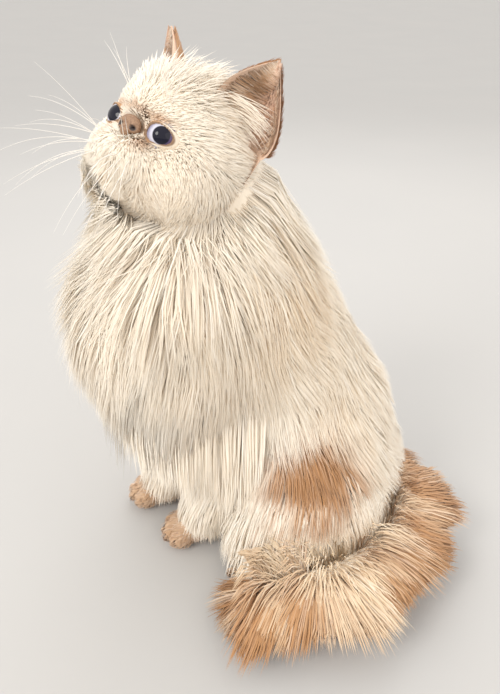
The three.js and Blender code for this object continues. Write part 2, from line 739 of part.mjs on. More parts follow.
for (const [name, { paw, turn }] of Object.entries(FORELEG)) {
  const foot = (grow) => footSolid(...paw, turn, false, grow);
  node("forepaw_" + name, foot(0), foot(GAP), [], FLAME);
}
for (const [name, sign] of Object.entries(SIDES)) {
  const { x, y, turn } = HINDFOOT;
  const foot = (grow) => footSolid(sign * x, y, sign * turn, true, grow);
  node("hindfoot_" + name, foot(0), foot(GAP), [], FLAME);
}

// The side of a cut that its direction points to, or the other, moved back by the half gap.
const after = (cut, grow) => halfSpace(cut.at, cut.way, GAP / 2 - grow);
const before = (cut, grow) => halfSpace(cut.at, cut.way.clone().negate(), GAP / 2 - grow);

const neckCore = (grow) =>
  wrap(MIDDLE.neck, bodyMasses, CORE, grow, 3).intersect(after(NECK_CUT, grow));
const onNeck = (p) => past(NECK_CUT, p) > 2 && p.z < 290;
node("neck", neckCore(0), neckCore(GAP), bodyLocks("neck", MIDDLE.neck, onNeck, 11), CREAM);

const chestCore = (grow) => {
  const front = wrap(MIDDLE.chest, bodyMasses, CORE, grow, 3).intersect(after(CHEST_CUT, grow));
  return front.intersect(before(NECK_CUT, grow));
};
const onChest = (p) => past(NECK_CUT, p) < 4 && past(CHEST_CUT, p) > 3 && p.z > 118;
node("chest_ruff", chestCore(0), chestCore(GAP), bodyLocks("chest", MIDDLE.chest, onChest, 12), CREAM);

// Long locks that hang from the front of the thigh, between the paw and the tail.
const FRINGE = [
  [point(30, -46, 66), point(30, -66, 22)],
  [point(42, -48, 62), point(46, -76, 16)],
  [point(56, -40, 58), point(62, -68, 12)],
];
function fringeLocks(sign) {
  return FRINGE.map(([from, to]) => {
    const [root, tip] = [from, to].map((p) => point(sign * p.x, p.y, p.z));
    return freeLock(root, tip, point(sign * 4, -9, 0), point(sign * 0.5, -1, 0.2).normalize(), 25, 4.5);
  });
}

const trunkCore = (grow) =>
  wrap(MIDDLE.torso, bodyMasses, CORE, grow, 4).intersect(before(CHEST_CUT, grow));
const torsoCore = (grow) => {
  const thighs = [1, -1].map((sign) => thighBlock(sign, GAP - grow));
  return without(trunkCore(grow).intersect(before(NECK_CUT, grow)), thighs);
};
const onTorso = (p) =>
  past(NECK_CUT, p) < 8 && past(CHEST_CUT, p) < 6 && p.z > 22 && !inThigh(p) && !(p.y < -60 && p.z < 90);
node("torso", torsoCore(0), torsoCore(GAP), bodyLocks("torso", MIDDLE.torso, onTorso, 13), CREAM);

for (const [name, sign] of Object.entries(SIDES)) {
  const core = (grow) => trunkCore(grow).intersect(thighBlock(sign, grow));
  const onThigh = (p) => sign * p.x > 0 && inThigh(p) && p.z > 16;
  const plans = [...bodyLocks("thigh", MIDDLE.torso, onThigh, 20 + sign), ...fringeLocks(sign)];
  node("hindleg_" + name, core(0), core(GAP), plans, CREAM);
}

for (const [name, leg] of Object.entries(FORELEG)) {
  node("foreleg_" + name, forelegSolid(leg, 0), forelegSolid(leg, GAP), forelegLocks(leg, 36 + leg.turn), CREAM);
}

const tailPlans = tailLocks();
const tailCuts = TAIL_CUTS.map((t) => ({ at: tailLine.getPoint(t), way: tailLine.getTangent(t) }));
const TAIL_NODES = [
  ["tail_base", 0, TAIL_CUTS[0], null, tailCuts[0]],
  ["tail_middle", TAIL_CUTS[0], TAIL_CUTS[1], tailCuts[0], tailCuts[1]],
  ["tail_tip", TAIL_CUTS[1], 1, tailCuts[1], null],
];
for (const [name, low, high, start, end] of TAIL_NODES) {
  const core = (grow) => {
    const first = start ? tailSolid(grow).intersect(after(start, grow)) : tailSolid(grow);
    return end ? first.intersect(before(end, grow)) : first;
  };
  node(name, core(0), core(GAP), tailPlans.filter((plan) => plan.t > low && plan.t <= high), FLAME);
}

export default group;
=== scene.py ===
"""A long-haired cat with a short face, life size, sitting and looking up over its left shoulder.

Sizes are millimetres in the cat's own frame, as in the solids: it faces -Y, its left side is +X and
the floor is z = 0. They become metres where a mesh is made.
"""

import bpy
import numpy as np
from mathutils import Matrix, Vector


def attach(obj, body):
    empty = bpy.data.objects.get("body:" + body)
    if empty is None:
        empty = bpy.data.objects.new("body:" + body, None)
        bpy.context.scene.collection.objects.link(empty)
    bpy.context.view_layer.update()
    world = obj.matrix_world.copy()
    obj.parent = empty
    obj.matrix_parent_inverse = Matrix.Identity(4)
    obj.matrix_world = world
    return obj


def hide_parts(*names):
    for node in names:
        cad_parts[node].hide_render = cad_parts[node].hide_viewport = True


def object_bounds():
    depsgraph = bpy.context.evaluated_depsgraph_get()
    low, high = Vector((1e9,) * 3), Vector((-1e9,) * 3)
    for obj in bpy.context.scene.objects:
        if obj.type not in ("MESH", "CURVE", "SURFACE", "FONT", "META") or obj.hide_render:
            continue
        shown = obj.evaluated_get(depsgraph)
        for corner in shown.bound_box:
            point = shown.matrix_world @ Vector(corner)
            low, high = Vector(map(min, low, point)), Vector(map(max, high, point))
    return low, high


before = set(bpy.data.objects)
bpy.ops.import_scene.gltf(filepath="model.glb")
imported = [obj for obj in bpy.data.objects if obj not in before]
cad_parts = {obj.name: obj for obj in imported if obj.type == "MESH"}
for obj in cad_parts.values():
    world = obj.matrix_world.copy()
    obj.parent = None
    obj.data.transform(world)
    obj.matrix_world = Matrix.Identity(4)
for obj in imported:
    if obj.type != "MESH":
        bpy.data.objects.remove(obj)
cad_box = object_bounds()

MM = 0.001
SIDES = {"left": 1, "right": -1}


# Numbers

def vec(*values):
    return np.array(values, dtype=float)


def unit(a):
    """Each vector at length 1."""
    return a / np.maximum(np.linalg.norm(a, axis=-1, keepdims=True), 1e-9)


def dot(a, b):
    return np.sum(a * b, axis=-1)


def ease(x, low, high):
    """0 below low, 1 above high, and 3t² - 2t³ between them."""
    t = np.clip((x - low) / (high - low), 0, 1)
    return t * t * (3 - 2 * t)


def lerp(a, b, t):
    return a + (b - a) * t


def bump(p, middle, radii):
    """1 at the middle of an ellipsoid, falling as exp(-d²), d being the distance in its radii."""
    return np.exp(-np.sum(((p - middle) / radii) ** 2, axis=-1))


def bumps(p, middle, radii):
    """A bump on the left and its mirror on the right, added."""
    return sum(bump(p, middle * vec(sign, 1, 1), radii) for sign in (1, -1))


def turned(axis, degrees):
    """The matrix of a turn about x (0), y (1) or z (2)."""
    a = np.radians(degrees)
    i, j = [(1, 2), (2, 0), (0, 1)][axis]
    m = np.eye(3)
    m[i, i] = m[j, j] = np.cos(a)
    m[i, j], m[j, i] = -np.sin(a), np.sin(a)
    return m


def smooth_line(points, t):
    """Places on a centripetal Catmull-Rom line through the points, t running from 0 to 1."""
    points = np.asarray(points, float)
    points = np.concatenate([[2 * points[0] - points[1]], points, [2 * points[-1] - points[-2]]])
    spans = len(points) - 3
    x = np.clip(np.asarray(t, float), 0, 1) * spans
    i = np.minimum(x.astype(int), spans - 1)
    w = (x - i)[:, None]
    p0, p1, p2, p3 = (points[i + k] for k in range(4))
    gaps = (p1 - p0, p2 - p1, p3 - p2)
    d0, d1, d2 = (np.sqrt(np.linalg.norm(gap, axis=1))[:, None] for gap in gaps)
    m1 = ((p1 - p0) / d0 - (p2 - p0) / (d0 + d1) + (p2 - p1) / d1) * d1
    m2 = ((p2 - p1) / d1 - (p3 - p1) / (d1 + d2) + (p3 - p2) / d2) * d1
    square, cube = -3 * p1 + 3 * p2 - 2 * m1 - m2, 2 * p1 - 2 * p2 + m1 + m2
    return p1 + m1 * w + square * w ** 2 + cube * w ** 3


def along_line(points, t):
    """The way a line runs at t."""
    near = 0.004
    return unit(smooth_line(points, np.asarray(t) + near) - smooth_line(points, np.asarray(t) - near))


def circle(side, over, a):
    """Ways round an axis, cos(a)·side + sin(a)·over, for each angle a and each pair of sides."""
    return np.cos(a)[:, None] * side[..., None, :] + np.sin(a)[:, None] * over[..., None, :]


def round_angles(around):
    return 2 * np.pi * np.arange(around) / around


# Forms

TIGHT = 9  # how closely ellipsoids that run together keep to their own shapes


class Form:
    """Ellipsoids that run together, each with its own depth of coat.

    The surface at a share q of the coat is where the sum of exp(TIGHT·(1 - |local / (radii + q·coat)|)),
    over all of them, is 1: the ellipsoids' own size is q = 0, and the tips of the hair are at q = 1.
    A row holds a middle, radii, the depth of coat and a lean about x, which is 0 where it is left out.
    """

    def __init__(self, rows, turn=np.eye(3), at=vec(0, 0, 0)):
        rows = np.array([(*row, 0)[:8] for row in rows], float)
        self.middle = rows[:, :3] @ turn.T + at
        self.radii = rows[:, 3:6]
        self.coat = rows[:, 6]
        self.turn = np.stack([turn @ turned(0, lean) for lean in rows[:, 7]])

    def __add__(self, other):
        both = Form.__new__(Form)
        for key in ("middle", "radii", "coat", "turn"):
            setattr(both, key, np.concatenate([getattr(self, key), getattr(other, key)]))
        return both

    def field(self, p, share):
        """The logarithm of the sum at each place, and its slope."""
        share = np.broadcast_to(np.asarray(share, float), len(p))
        size = self.radii + self.coat[:, None] * share[:, None, None]
        scaled = np.einsum("nki,kij->nkj", p[:, None] - self.middle, self.turn) / size
        far = np.linalg.norm(scaled, axis=2)
        weight = np.exp(TIGHT * (1 - far))
        total = weight.sum(1)
        slope = np.einsum("nkj,kij->nki", scaled / size / far[..., None], self.turn)
        return np.log(total), -TIGHT * np.einsum("nk,nki->ni", weight, slope) / total[:, None]

    def onto(self, p, share, times=3):
        """Places drawn along the slope, by 9 mm at most each time, onto the surface at a share of the
        coat, and the way out there."""
        for _ in range(times):
            value, slope = self.field(p, share)
            step = -slope * (value / np.maximum(np.sum(slope ** 2, axis=1), 1e-6))[:, None]
            far = np.linalg.norm(step, axis=1)[:, None]
            p = p + step * np.minimum(1, 9 / np.maximum(far, 1e-6))
        return p, -unit(self.field(p, share)[1])

    def reach(self, middle, ways, share):
        """How far from a middle the surface lies along each way, by halving."""
        near, far = np.zeros(len(ways)), np.full(len(ways), 300.0)
        for _ in range(22):
            half = (near + far) / 2
            inside = self.field(middle + ways * half[:, None], share)[0] > 0
            near, far = np.where(inside, half, near), np.where(inside, far, half)
        return near


BODY = Form([
    (0, -2, 58, 57, 55, 56, 15),  # rump
    (-2, -12, 108, 50, 54, 58, 15),  # loin
    (-7, -36, 158, 46, 46, 56, 17, 14),  # ribs
    (-12, -50, 196, 42, 38, 38, 19),  # shoulders
    (44, -18, 56, 31, 45, 44, 15),  # left thigh
    (-44, -18, 56, 31, 45, 44, 15),  # right thigh
    (-14, -66, 214, 39, 34, 34, 30),  # neck, low
    (-15, -78, 250, 37, 30, 28, 29),  # neck, high
    (-17, -66, 278, 30, 22, 24, 20),  # nape
    (-13, -98, 228, 27, 25, 26, 46),  # throat
    (-12, -102, 188, 26, 26, 34, 58),  # breast
])
BODY_MIDDLES = [vec(-3, -30, 116), vec(-14, -80, 240), vec(-12, -98, 192)]
BODY_SKIN = 0.3  # the share of the coat at which the skin lies

HEAD_AT = vec(-14, -101, 304)
HEAD_TURN = turned(2, 38) @ turned(0, -28) @ turned(1, 10)
HEAD_ROWS = [
    (0, 7, 7, 40, 40, 35, 15),  # cranium
    (0, -17, 20, 28, 19, 18, 8),  # brow
    (26, -8, -14, 21, 24, 21, 10),  # left cheek
    (-26, -8, -14, 21, 24, 21, 10),  # right cheek
    (9.5, -34, -13, 12, 12, 11, 2),  # left lip pad
    (-9.5, -34, -13, 12, 12, 11, 2),  # right lip pad
    (0, -34, 4, 7, 7, 7, 1),  # nose
    (0, -27, -24, 13.5, 12, 12.5, 4),  # chin
    (0, -3, -23, 27, 29, 17, 12),  # jaw
]
HEAD_MIDDLE = vec(0, -3, 0)
HEAD_SKIN = 0.1
HEAD = Form(HEAD_ROWS)
HEAD_PLACED = Form(HEAD_ROWS, HEAD_TURN, HEAD_AT)
WHOLE = BODY + HEAD_PLACED


def in_head(p):
    """From the head's frame, in which the face looks along -Y, to the cat's."""
    return p @ HEAD_TURN.T + HEAD_AT


def head_local(p):
    return (p - HEAD_AT) @ HEAD_TURN


# Surfaces

def closed(places, faces):
    """The same surface with its faces turned outwards, told by the sign of its volume."""
    a, b, c = (places[faces[:, k]] for k in range(3))
    return places, faces if np.sum(dot(a, np.cross(b, c))) > 0 else faces[:, ::-1]


def bands(rings, around):
    """Two triangles for each cell between neighbouring rings of places."""
    here = (np.arange(rings - 1) * around)[:, None] + np.arange(around)
    beside = np.roll(here, -1, axis=1)
    halves = (here, beside, beside + around), (here, beside + around, here + around)
    return np.concatenate([np.stack(half, -1).reshape(-1, 3) for half in halves])


def fan(pole, ring):
    """Triangles from a pole to the places of a ring."""
    return np.stack([np.full(len(ring), pole), ring, np.roll(ring, -1)], -1)


def rings_closed(grid, first, last):
    """Rings of places (rings × around × 3) joined to one another, and to a pole at each end."""
    rings, around = grid.shape[:2]
    ring, count = np.arange(around), rings * around
    caps = fan(count, ring)[:, [0, 2, 1]], fan(count + 1, ring + count - around)
    places = np.concatenate([grid.reshape(-1, 3), [first, last]])
    return closed(places, np.concatenate([bands(rings, around), *caps]))


def joined(*shells):
    """Several surfaces as one list of places and faces."""
    starts = np.cumsum([0] + [len(places) for places, _ in shells[:-1]])
    faces = [faces + start for (_, faces), start in zip(shells, starts)]
    return np.concatenate([places for places, _ in shells]), np.concatenate(faces)


def ball(form, middle, share, around, rings, pole=vec(0, 0, 1), crowd=1.0):
    """A form's surface as seen from a middle: on the ray at angle a round the pole and π·v^crowd from
    it, the place where the surface lies. A crowd over 1 draws the rings together at the pole."""
    side = unit(np.cross(pole, vec(0.1, 0.3, 1) if abs(pole[2]) < 0.9 else vec(1, 0, 0)))
    over = np.cross(pole, side)
    v = np.pi * (np.arange(rings + 1) / rings) ** crowd
    ring = circle(side, over, round_angles(around))
    ways = np.cos(v)[:, None, None] * pole + np.sin(v)[:, None, None] * ring
    far = form.reach(middle, ways.reshape(-1, 3), share).reshape(ways.shape[:2])
    grid = middle + ways * far[..., None]
    return rings_closed(grid[1:-1], grid[0, 0], grid[-1, 0])


def limb(points, radii, around, rings, less):
    """Round sections carried along a smooth line: line(t) + (r(t) - less)·(cos a·side + sin a·over)."""
    t = np.linspace(0, 1, rings)
    middle, way = smooth_line(points, t), along_line(points, t)
    x = t * (len(radii) - 1)
    i = np.minimum(x.astype(int), len(radii) - 2)
    r = lerp(np.array(radii)[i], np.array(radii)[i + 1], ease(x - i, 0, 1)) - less
    side = unit(np.cross(way, vec(0.05, 0.02, 1)))
    ring = circle(side, np.cross(side, way), round_angles(around))
    grid = middle[:, None] + ring * r[:, None, None]
    return rings_closed(grid, middle[0] - way[0] * r[0] * 0.5, middle[-1] + way[-1] * r[-1] * 0.5)


# Pieces

def mesh_of(name, places, faces):
    """A mesh in metres of triangles, shaded smooth."""
    mesh = bpy.data.meshes.new(name)
    mesh.vertices.add(len(places))
    mesh.vertices.foreach_set("co", (places * MM).ravel())
    mesh.loops.add(faces.size)
    mesh.loops.foreach_set("vertex_index", faces.ravel())
    mesh.polygons.add(len(faces))
    mesh.polygons.foreach_set("loop_start", np.arange(0, faces.size, 3))
    mesh.polygons.foreach_set("use_smooth", np.ones(len(faces), bool))
    mesh.update(calc_edges=True)
    return mesh


def added(name, data):
    """An object of the scene that holds a mesh, a lamp or a camera."""
    made = bpy.data.objects.new(name, data)
    bpy.context.scene.collection.objects.link(made)
    return made


def carry(mesh, name, kind, domain, key, values):
    """Gives a mesh a value of its own at each place, edge or corner."""
    mesh.attributes.new(name, kind, domain).data.foreach_set(key, values)


def piece(name, places, faces, finish, slot, marks=None):
    """An object that rides on the body, with one number a place for each mark."""
    mesh = mesh_of(name, places, faces)
    for mark, values in (marks or {}).items():
        values = np.ascontiguousarray(np.broadcast_to(values, len(places)), dtype=np.float32)
        carry(mesh, mark, "FLOAT", "POINT", "value", values)
    mesh.materials.append(finish)
    made = added(name, mesh)
    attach(made, "root")
    return made


def melted(places, faces, voxel, rounds):
    """The surfaces melted into one: remeshed in cubes of a size and smoothed."""
    mesh = mesh_of("melt", places, faces)
    made = added("melt", mesh)
    remesh = made.modifiers.new("cubes", "REMESH")
    remesh.mode = "VOXEL"
    remesh.voxel_size = voxel * MM
    soft = made.modifiers.new("soft", "SMOOTH")
    soft.factor = 0.5
    soft.iterations = rounds
    made.modifiers.new("split", "TRIANGULATE")
    done = made.evaluated_get(bpy.context.evaluated_depsgraph_get()).to_mesh()
    places = np.empty(len(done.vertices) * 3)
    faces = np.empty(len(done.polygons) * 3, int)
    done.vertices.foreach_get("co", places)
    done.loops.foreach_get("vertex_index", faces)
    bpy.data.objects.remove(made)
    bpy.data.meshes.remove(mesh)
    return closed(places.reshape(-1, 3) / MM, faces.reshape(-1, 3))


# Finishes

class Wire:
    """A socket whose arithmetic adds Math nodes."""

    def __init__(self, finish, socket):
        self.finish = finish
        self.socket = socket

    def math(self, operation, *inputs):
        return self.finish.node("ShaderNodeMath", *inputs, operation=operation)

    def __add__(self, other):
        return self.math("ADD", self, other)

    def __sub__(self, other):
        return self.math("SUBTRACT", self, other)

    def __rsub__(self, other):
        return self.math("SUBTRACT", other, self)

    def __mul__(self, other):
        return self.math("MULTIPLY", self, other)

    __radd__ = __add__
    __rmul__ = __mul__

    def ramp(self, low, high):
        """0 below low, 1 above high and a smooth step between them."""
        kind = "SMOOTHSTEP"
        return self.finish.node("ShaderNodeMapRange", self, low, high, 0.0, 1.0, interpolation_type=kind)


class Finish:
    """A material under way, whose node method adds any node from its settings and inputs."""

    def __init__(self, name):
        self.material = bpy.data.materials.new(name)
        self.material.use_nodes = True
        self.tree = self.material.node_tree
        self.tree.nodes.clear()

    def node(self, kind, *inputs, named=None, out=0, **settings):
        made = self.tree.nodes.new(kind)
        for key, value in settings.items():
            setattr(made, key, value)
        pairs = list(zip([socket for socket in made.inputs if socket.enabled], inputs))
        pairs += [(made.inputs[key], value) for key, value in (named or {}).items()]
        for socket, value in pairs:
            if isinstance(value, Wire):
                self.tree.links.new(value.socket, socket)
            elif value is not None:
                socket.default_value = (*value, 1.0) if socket.type == "RGBA" else value
        outs = [socket for socket in made.outputs if socket.enabled]
        return Wire(self, outs[out]) if outs else None

    def mark(self, name):
        """A number that the mesh carries at each place."""
        return self.node("ShaderNodeAttribute", attribute_name=name, out=2)

    def place(self):
        return self.node("ShaderNodeTexCoord", out=3)

    def noise(self, scale, detail=2.0):
        return self.node("ShaderNodeTexNoise", self.place(), scale, detail)

    def vector(self, operation, *inputs):
        return self.node("ShaderNodeVectorMath", *inputs, operation=operation)

    def mix(self, a, b, factor):
        """From colour a to colour b by a factor."""
        return self.node("ShaderNodeMix", factor, a, b, data_type="RGBA")

    def bump(self, height, strength, distance):
        named = {"Height": height, "Strength": strength, "Distance": distance}
        return self.node("ShaderNodeBump", named=named)

    def shade(self, base, rough, normal=None, **constants):
        """Closes the material with a Principled shader."""
        named = {"Base Color": base, "Roughness": rough, "Normal": normal}
        named.update({key.replace("_", " "): value for key, value in constants.items()})
        shader = self.node("ShaderNodeBsdfPrincipled", named=named)
        self.node("ShaderNodeOutputMaterial", shader)
        return self.material


CREAM = (0.93, 0.87, 0.77)
WARM = (0.84, 0.68, 0.48)
GINGER = (0.50, 0.262, 0.118)
DEEP = (0.19, 0.10, 0.05)
PINK = (0.72, 0.40, 0.27)


def coat_colour(finish):
    """Cream to warm cream, ginger and deep brown by the marks that skin and coat both carry."""
    speck = finish.noise(55.0, 3.0) - 0.5
    ginger = (finish.mark("ginger") + speck * 0.25).ramp(0.06, 0.94)
    deep = (finish.mark("deep") + speck * 0.25).ramp(0.08, 0.95)
    colour = finish.mix(CREAM, WARM, finish.mark("warm") + speck * 0.12)
    colour = finish.mix(colour, GINGER, ginger)
    colour = finish.mix(colour, DEEP, deep)
    return finish.mix(colour, PINK, finish.mark("pink"))


def fur_finish():
    """Hair: a little warmer and darker towards its root, as painted shade deep in the coat, and each a tone
    lighter or darker than the next.
    """
    finish = Finish("fur")
    own = finish.mark("own")
    # Painted shade deep in the coat: towards its root the hair is mixed with a shaded beige.
    root = (1 - finish.mark("along")).ramp(0.45, 1.0) * 0.1
    colour = finish.mix(coat_colour(finish), (0.62, 0.47, 0.33), root)
    light = (own - 0.6).ramp(0.0, 0.4) * (1 - finish.mark("ginger") * 0.85)
    colour = finish.mix(colour, (0.97, 0.95, 0.91), light * 0.35)
    colour = finish.mix(colour, (0.55, 0.41, 0.28), (0.4 - own).ramp(0.0, 0.4) * 0.12)
    rough = 0.6 + finish.noise(90.0) * 0.15
    return finish.shade(colour, rough, Specular_IOR_Level=0.12, Sheen_Weight=0.2, Sheen_Roughness=0.6)


def skin_finish():
    finish = Finish("skin")
    grain = finish.noise(700.0, 3.0)
    colour = finish.mix(coat_colour(finish), (0.80, 0.64, 0.48), grain * 0.25)
    pores = finish.bump(grain, 0.3, 0.0005)
    return finish.shade(colour, 0.6 + grain * 0.2, pores, Specular_IOR_Level=0.3)


# Markings, by places in the cat's frame

HIP_AT, HIP_SIZE = vec(72, -26, 105), vec(38, 31, 29)


def drift(p, size, seed):
    """Smooth noise, seldom past ±1: six sines whose waves, about 6·size long, run in drawn directions."""
    draw = np.random.default_rng(seed)
    ways = unit(draw.standard_normal((6, 3))) * draw.uniform(0.6, 1.6, (6, 1)) / size
    return np.sin(p @ ways.T + draw.uniform(0, 2 * np.pi, 6)).sum(1) / 2.6


def body_marks(p):
    """Ginger on hips, feet and bridge and round the eyes, darker at the lids and the eyes' inner corners, and
    warmth on the neck, the back and the chin: each a sum of bumps and eased steps. On the bridge the ginger
    and a little brown are painted shade in the crease between nose and brow."""
    q = head_local(p)
    hips = 1.4 * bump(p, HIP_AT, HIP_SIZE) + 0.9 * bump(p * vec(-1, 1, 1), HIP_AT, HIP_SIZE)
    paws = ease(-p[:, 2], -40, -14) * ease(-p[:, 1], 60, 84)
    neck = 0.55 * bump(p, vec(40, -48, 246), vec(26, 34, 44))
    back = 0.25 * bump(p, vec(50, -8, 150), vec(40, 34, 60))
    back += 0.12 * (1 + drift(p * vec(1, 1, 0.5), 14, 5))
    e = nearer_eye(q)
    stain = bumps(q, vec(12.5, -38, -2), vec(6, 9, 6))
    corner = bumps(q, vec(8.8, -38, 4), vec(2.0, 7, 3.2))
    brow = bumps(q, vec(16, -33, 13.5), vec(8, 9, 2.4))
    # Painted shade in the crease between nose and brow, laid on as ginger with a little brown.
    bridge = bump(q, vec(0, -40, 12.5), vec(9, 10, 4.5))
    chin = bump(q, vec(0, -36, -30), vec(18, 16, 9))
    lid = (1 - ease(e, 1.12, 1.55)) * lerp(1, 0.2, ease(np.abs(q[:, 0]), 17, 23))
    return {
        "ginger": np.clip(hips + 0.6 * paws + 0.6 * stain + 0.6 * brow + 0.9 * bridge + 0.8 * lid, 0, 1),
        "deep": np.clip(0.6 * corner + 0.12 * bridge + 0.95 * (1 - ease(e, 1.06, 1.2)), 0, 1),
        "warm": np.clip(neck + back + 0.4 * paws + 0.6 * chin, 0, 1),
        "pink": 0.0,
    }


# The head's skin

EYE = {"x": 18, "y": -25.5, "z": 5, "r": 11, "out": 19, "up": 4, "wide": 8.0, "high": 4.8}
NOSE_AT = vec(0, -38.5, 4)


def eye_frame(sign):
    """The middle of an eyeball and its axes: across, into the head and up."""
    turn = turned(2, sign * EYE["out"]) @ turned(0, -EYE["up"])
    return vec(sign * EYE["x"], EYE["y"], EYE["z"]), turn


def eye_share(q, sign):
    """How far a place lies from the middle of an eye's opening: 1 on the edge of the lids."""
    middle, turn = eye_frame(sign)
    local = (q - middle) @ turn
    near = (local[:, 1] < 0) & (np.linalg.norm(local, axis=1) < 2 * EYE["r"])
    local = unit(local) * EYE["r"]
    return np.where(near, np.hypot(local[:, 0] / EYE["wide"], local[:, 2] / EYE["high"]), 9.0)


def nearer_eye(q):
    return np.minimum(eye_share(q, 1), eye_share(q, -1))


def off_line(q, a, b):
    """The distance of each place from the line between a and b."""
    t = np.clip(dot(q - a, b - a) / dot(b - a, b - a), 0, 1)
    return np.linalg.norm(q - a - t[:, None] * (b - a), axis=1)


def groove(q, points, wide):
    """1 on a polyline, falling as exp(-(d/wide)²)."""
    far = np.min([off_line(q, a, b) for a, b in zip(points[:-1], points[1:])], axis=0)
    return np.exp(-(far / wide) ** 2)


MOUTH = [
    vec((0, -44, -4), (0, -47, -9), (0, -44, -19)),
    vec((0, -44, -19), (7, -43, -22.5), (14, -38, -22.5)),
    vec((0, -44, -19), (-7, -43, -22.5), (-14, -38, -22.5)),
]
MOUTH_WIDE, MOUTH_DEEP = 1.7, 0.7
NOSE_FOLD = vec((-9, -37, 0), (-9, -37, 7), (-5, -36, 12), (5, -36, 12), (9, -37, 7), (9, -37, 0))
FOLD_WIDE, FOLD_DEEP = 2.2, 2.2
NOSE_SEAT = 5.5  # how far the skin is pressed in behind the leather
LIDS_IN, LIDS_OUT = -2.5, 1.2  # the skin inside and outside the edge of the lids, from the eyeball


def face_carved(q):
    """The lids drawn round each eye, by their distance from its middle, and the lines of the mouth and
    of the nose pressed in against the way out."""
    out = -unit(HEAD.field(q, HEAD_SKIN)[1])
    for line in MOUTH:
        q = q - out * (MOUTH_DEEP * groove(q, line, MOUTH_WIDE))[:, None]
    seat = NOSE_SEAT * bump(q, NOSE_AT, vec(7, 12, 6))
    q = q - out * (FOLD_DEEP * groove(q, NOSE_FOLD, FOLD_WIDE) + seat)[:, None]
    for sign in (1, -1):
        middle, _ = eye_frame(sign)
        e = eye_share(q, sign)
        own = np.linalg.norm(q - middle, axis=1)
        lid = EYE["r"] + lerp(LIDS_IN, LIDS_OUT, ease(e, 0.95, 1.05))
        q = middle + unit(q - middle) * lerp(lid, own, ease(e, 1.15, 1.8))[:, None]
    return q


def head_skin():
    places, faces = ball(HEAD, HEAD_MIDDLE, HEAD_SKIN, 260, 180, pole=vec(0, -1, 0), crowd=1.45)
    return closed(face_carved(places), faces)


# The ears

EAR_FRONT, EAR_OUTER, EAR_TIP = vec(21, -8, 38), vec(53, 15, 18), vec(47, 2, 70)
EAR_DEEP, EAR_WALL, EAR_ROOT = 15, 2.0, 44  # of the cup, of the skin, and down into the head
EAR_ACROSS = unit(EAR_OUTER - EAR_FRONT)
EAR_UP = unit(EAR_TIP - (EAR_FRONT + EAR_OUTER) / 2)
EAR_BACK = unit(np.cross(EAR_UP, EAR_ACROSS))


def ear_place(across, up, back, sign):
    """A place on an ear: across from -1, the front edge, to 1, the outer one, and up from 0 to 1, the tip.

    Both edges bow by sin(π·up^0.8), and between them the cup is sunk by EAR_DEEP·(1 - up)^0.9 times
    1 + sin(π·up)/4 and the half circle √(1 - across²). Below 0 the ear runs straight into the head.
    """
    t = np.clip(up, 0, 1)[..., None]
    bow = np.sin(np.pi * t ** 0.8)
    low = EAR_UP * np.minimum(up, 0)[..., None] * EAR_ROOT
    front = lerp(EAR_FRONT, EAR_TIP, t) - EAR_ACROSS * 5 * bow + low
    outer = lerp(EAR_OUTER, EAR_TIP, t) + EAR_ACROSS * 9 * bow + low
    cup = EAR_DEEP * (1 - t) ** 0.9 * (1 + 0.25 * np.sin(np.pi * t))
    arch = np.sqrt(np.maximum(1 - across ** 2, 0))[..., None]
    p = lerp(front, outer, (across[..., None] + 1) / 2) + EAR_BACK * (cup * arch + back)
    return in_head(p * vec(sign, 1, 1))


def ear_way(way, sign):
    """A way in the head's frame, mirrored for the right ear, as one in the cat's frame."""
    return in_head(way * vec(sign, 1, 1)) - HEAD_AT


def ear_skin(sign):
    """The inner and outer face of an ear joined round its rim, from its root up to the tip."""
    up = np.concatenate([np.linspace(-0.42, 0, 6)[:-1], 1 - (1 - np.linspace(0, 1, 30)) ** 1.3])[:-1]
    a, u = np.meshgrid(-np.cos(np.pi * np.arange(25) / 24), up)
    wall = EAR_WALL * (1 - 0.45 * np.clip(up, 0, 1))[:, None, None]
    inner = ear_place(a * 0.95, u, -wall / 2, sign)
    outer = ear_place(a, u, wall / 2, sign)[:, ::-1]
    grid = np.concatenate([inner, outer], axis=1)
    return rings_closed(grid, grid[0].mean(0), in_head(EAR_TIP * vec(sign, 1, 1)))


# Legs, feet and tail

FORELEG_LINES = {
    "left": [(16, -70, 122), (16, -74, 88), (8, -96, 40), (8, -98, 18)],
    "right": [(-40, -78, 122), (-40, -82, 88), (-41, -120, 40), (-41, -122, 18)],
}
FORELEG_RADII = [20, 18, 16, 14]
TAIL_LINE = [(4, 44, 40), (34, 60, 34), (64, 48, 28), (86, 16, 24), (97, -28, 21), (92, -70, 17)]
TAIL_CORE = [20, 22, 21, 21, 20, 14]


def foot_form(x, y, turn, hind):
    """A pad under 4 mm of fur with four toes, the outer two set back."""
    pad, start = ((0, 22, 14, 12, 35, 11, 4), -26) if hind else ((0, 2, 14, 14, 19, 11, 4), -17)
    toes = [(-11.5, start + 5), (-4, start), (4, start), (11.5, start + 5)]
    rows = [pad] + [(*toe, 9, 4.6, 8.5, 7.6, 2.4) for toe in toes]
    return Form(rows, turned(2, turn), vec(x, y, 0))


FEET = {  # the place, the turn and whether it is a hind one
    "forepaw_left": (8, -104, 4, False),
    "forepaw_right": (-41, -128, -4, False),
    "hindfoot_left": (60, -50, 6, True),
    "hindfoot_right": (-60, -50, -6, True),
}
FOOT_FORMS = {name: foot_form(*sizes) for name, sizes in FEET.items()}
FOOT_MIDDLES = {name: vec(x, y, 11) for name, (x, y, *_) in FEET.items()}
CLEAR = 0.6  # how far the skin stays over the floor

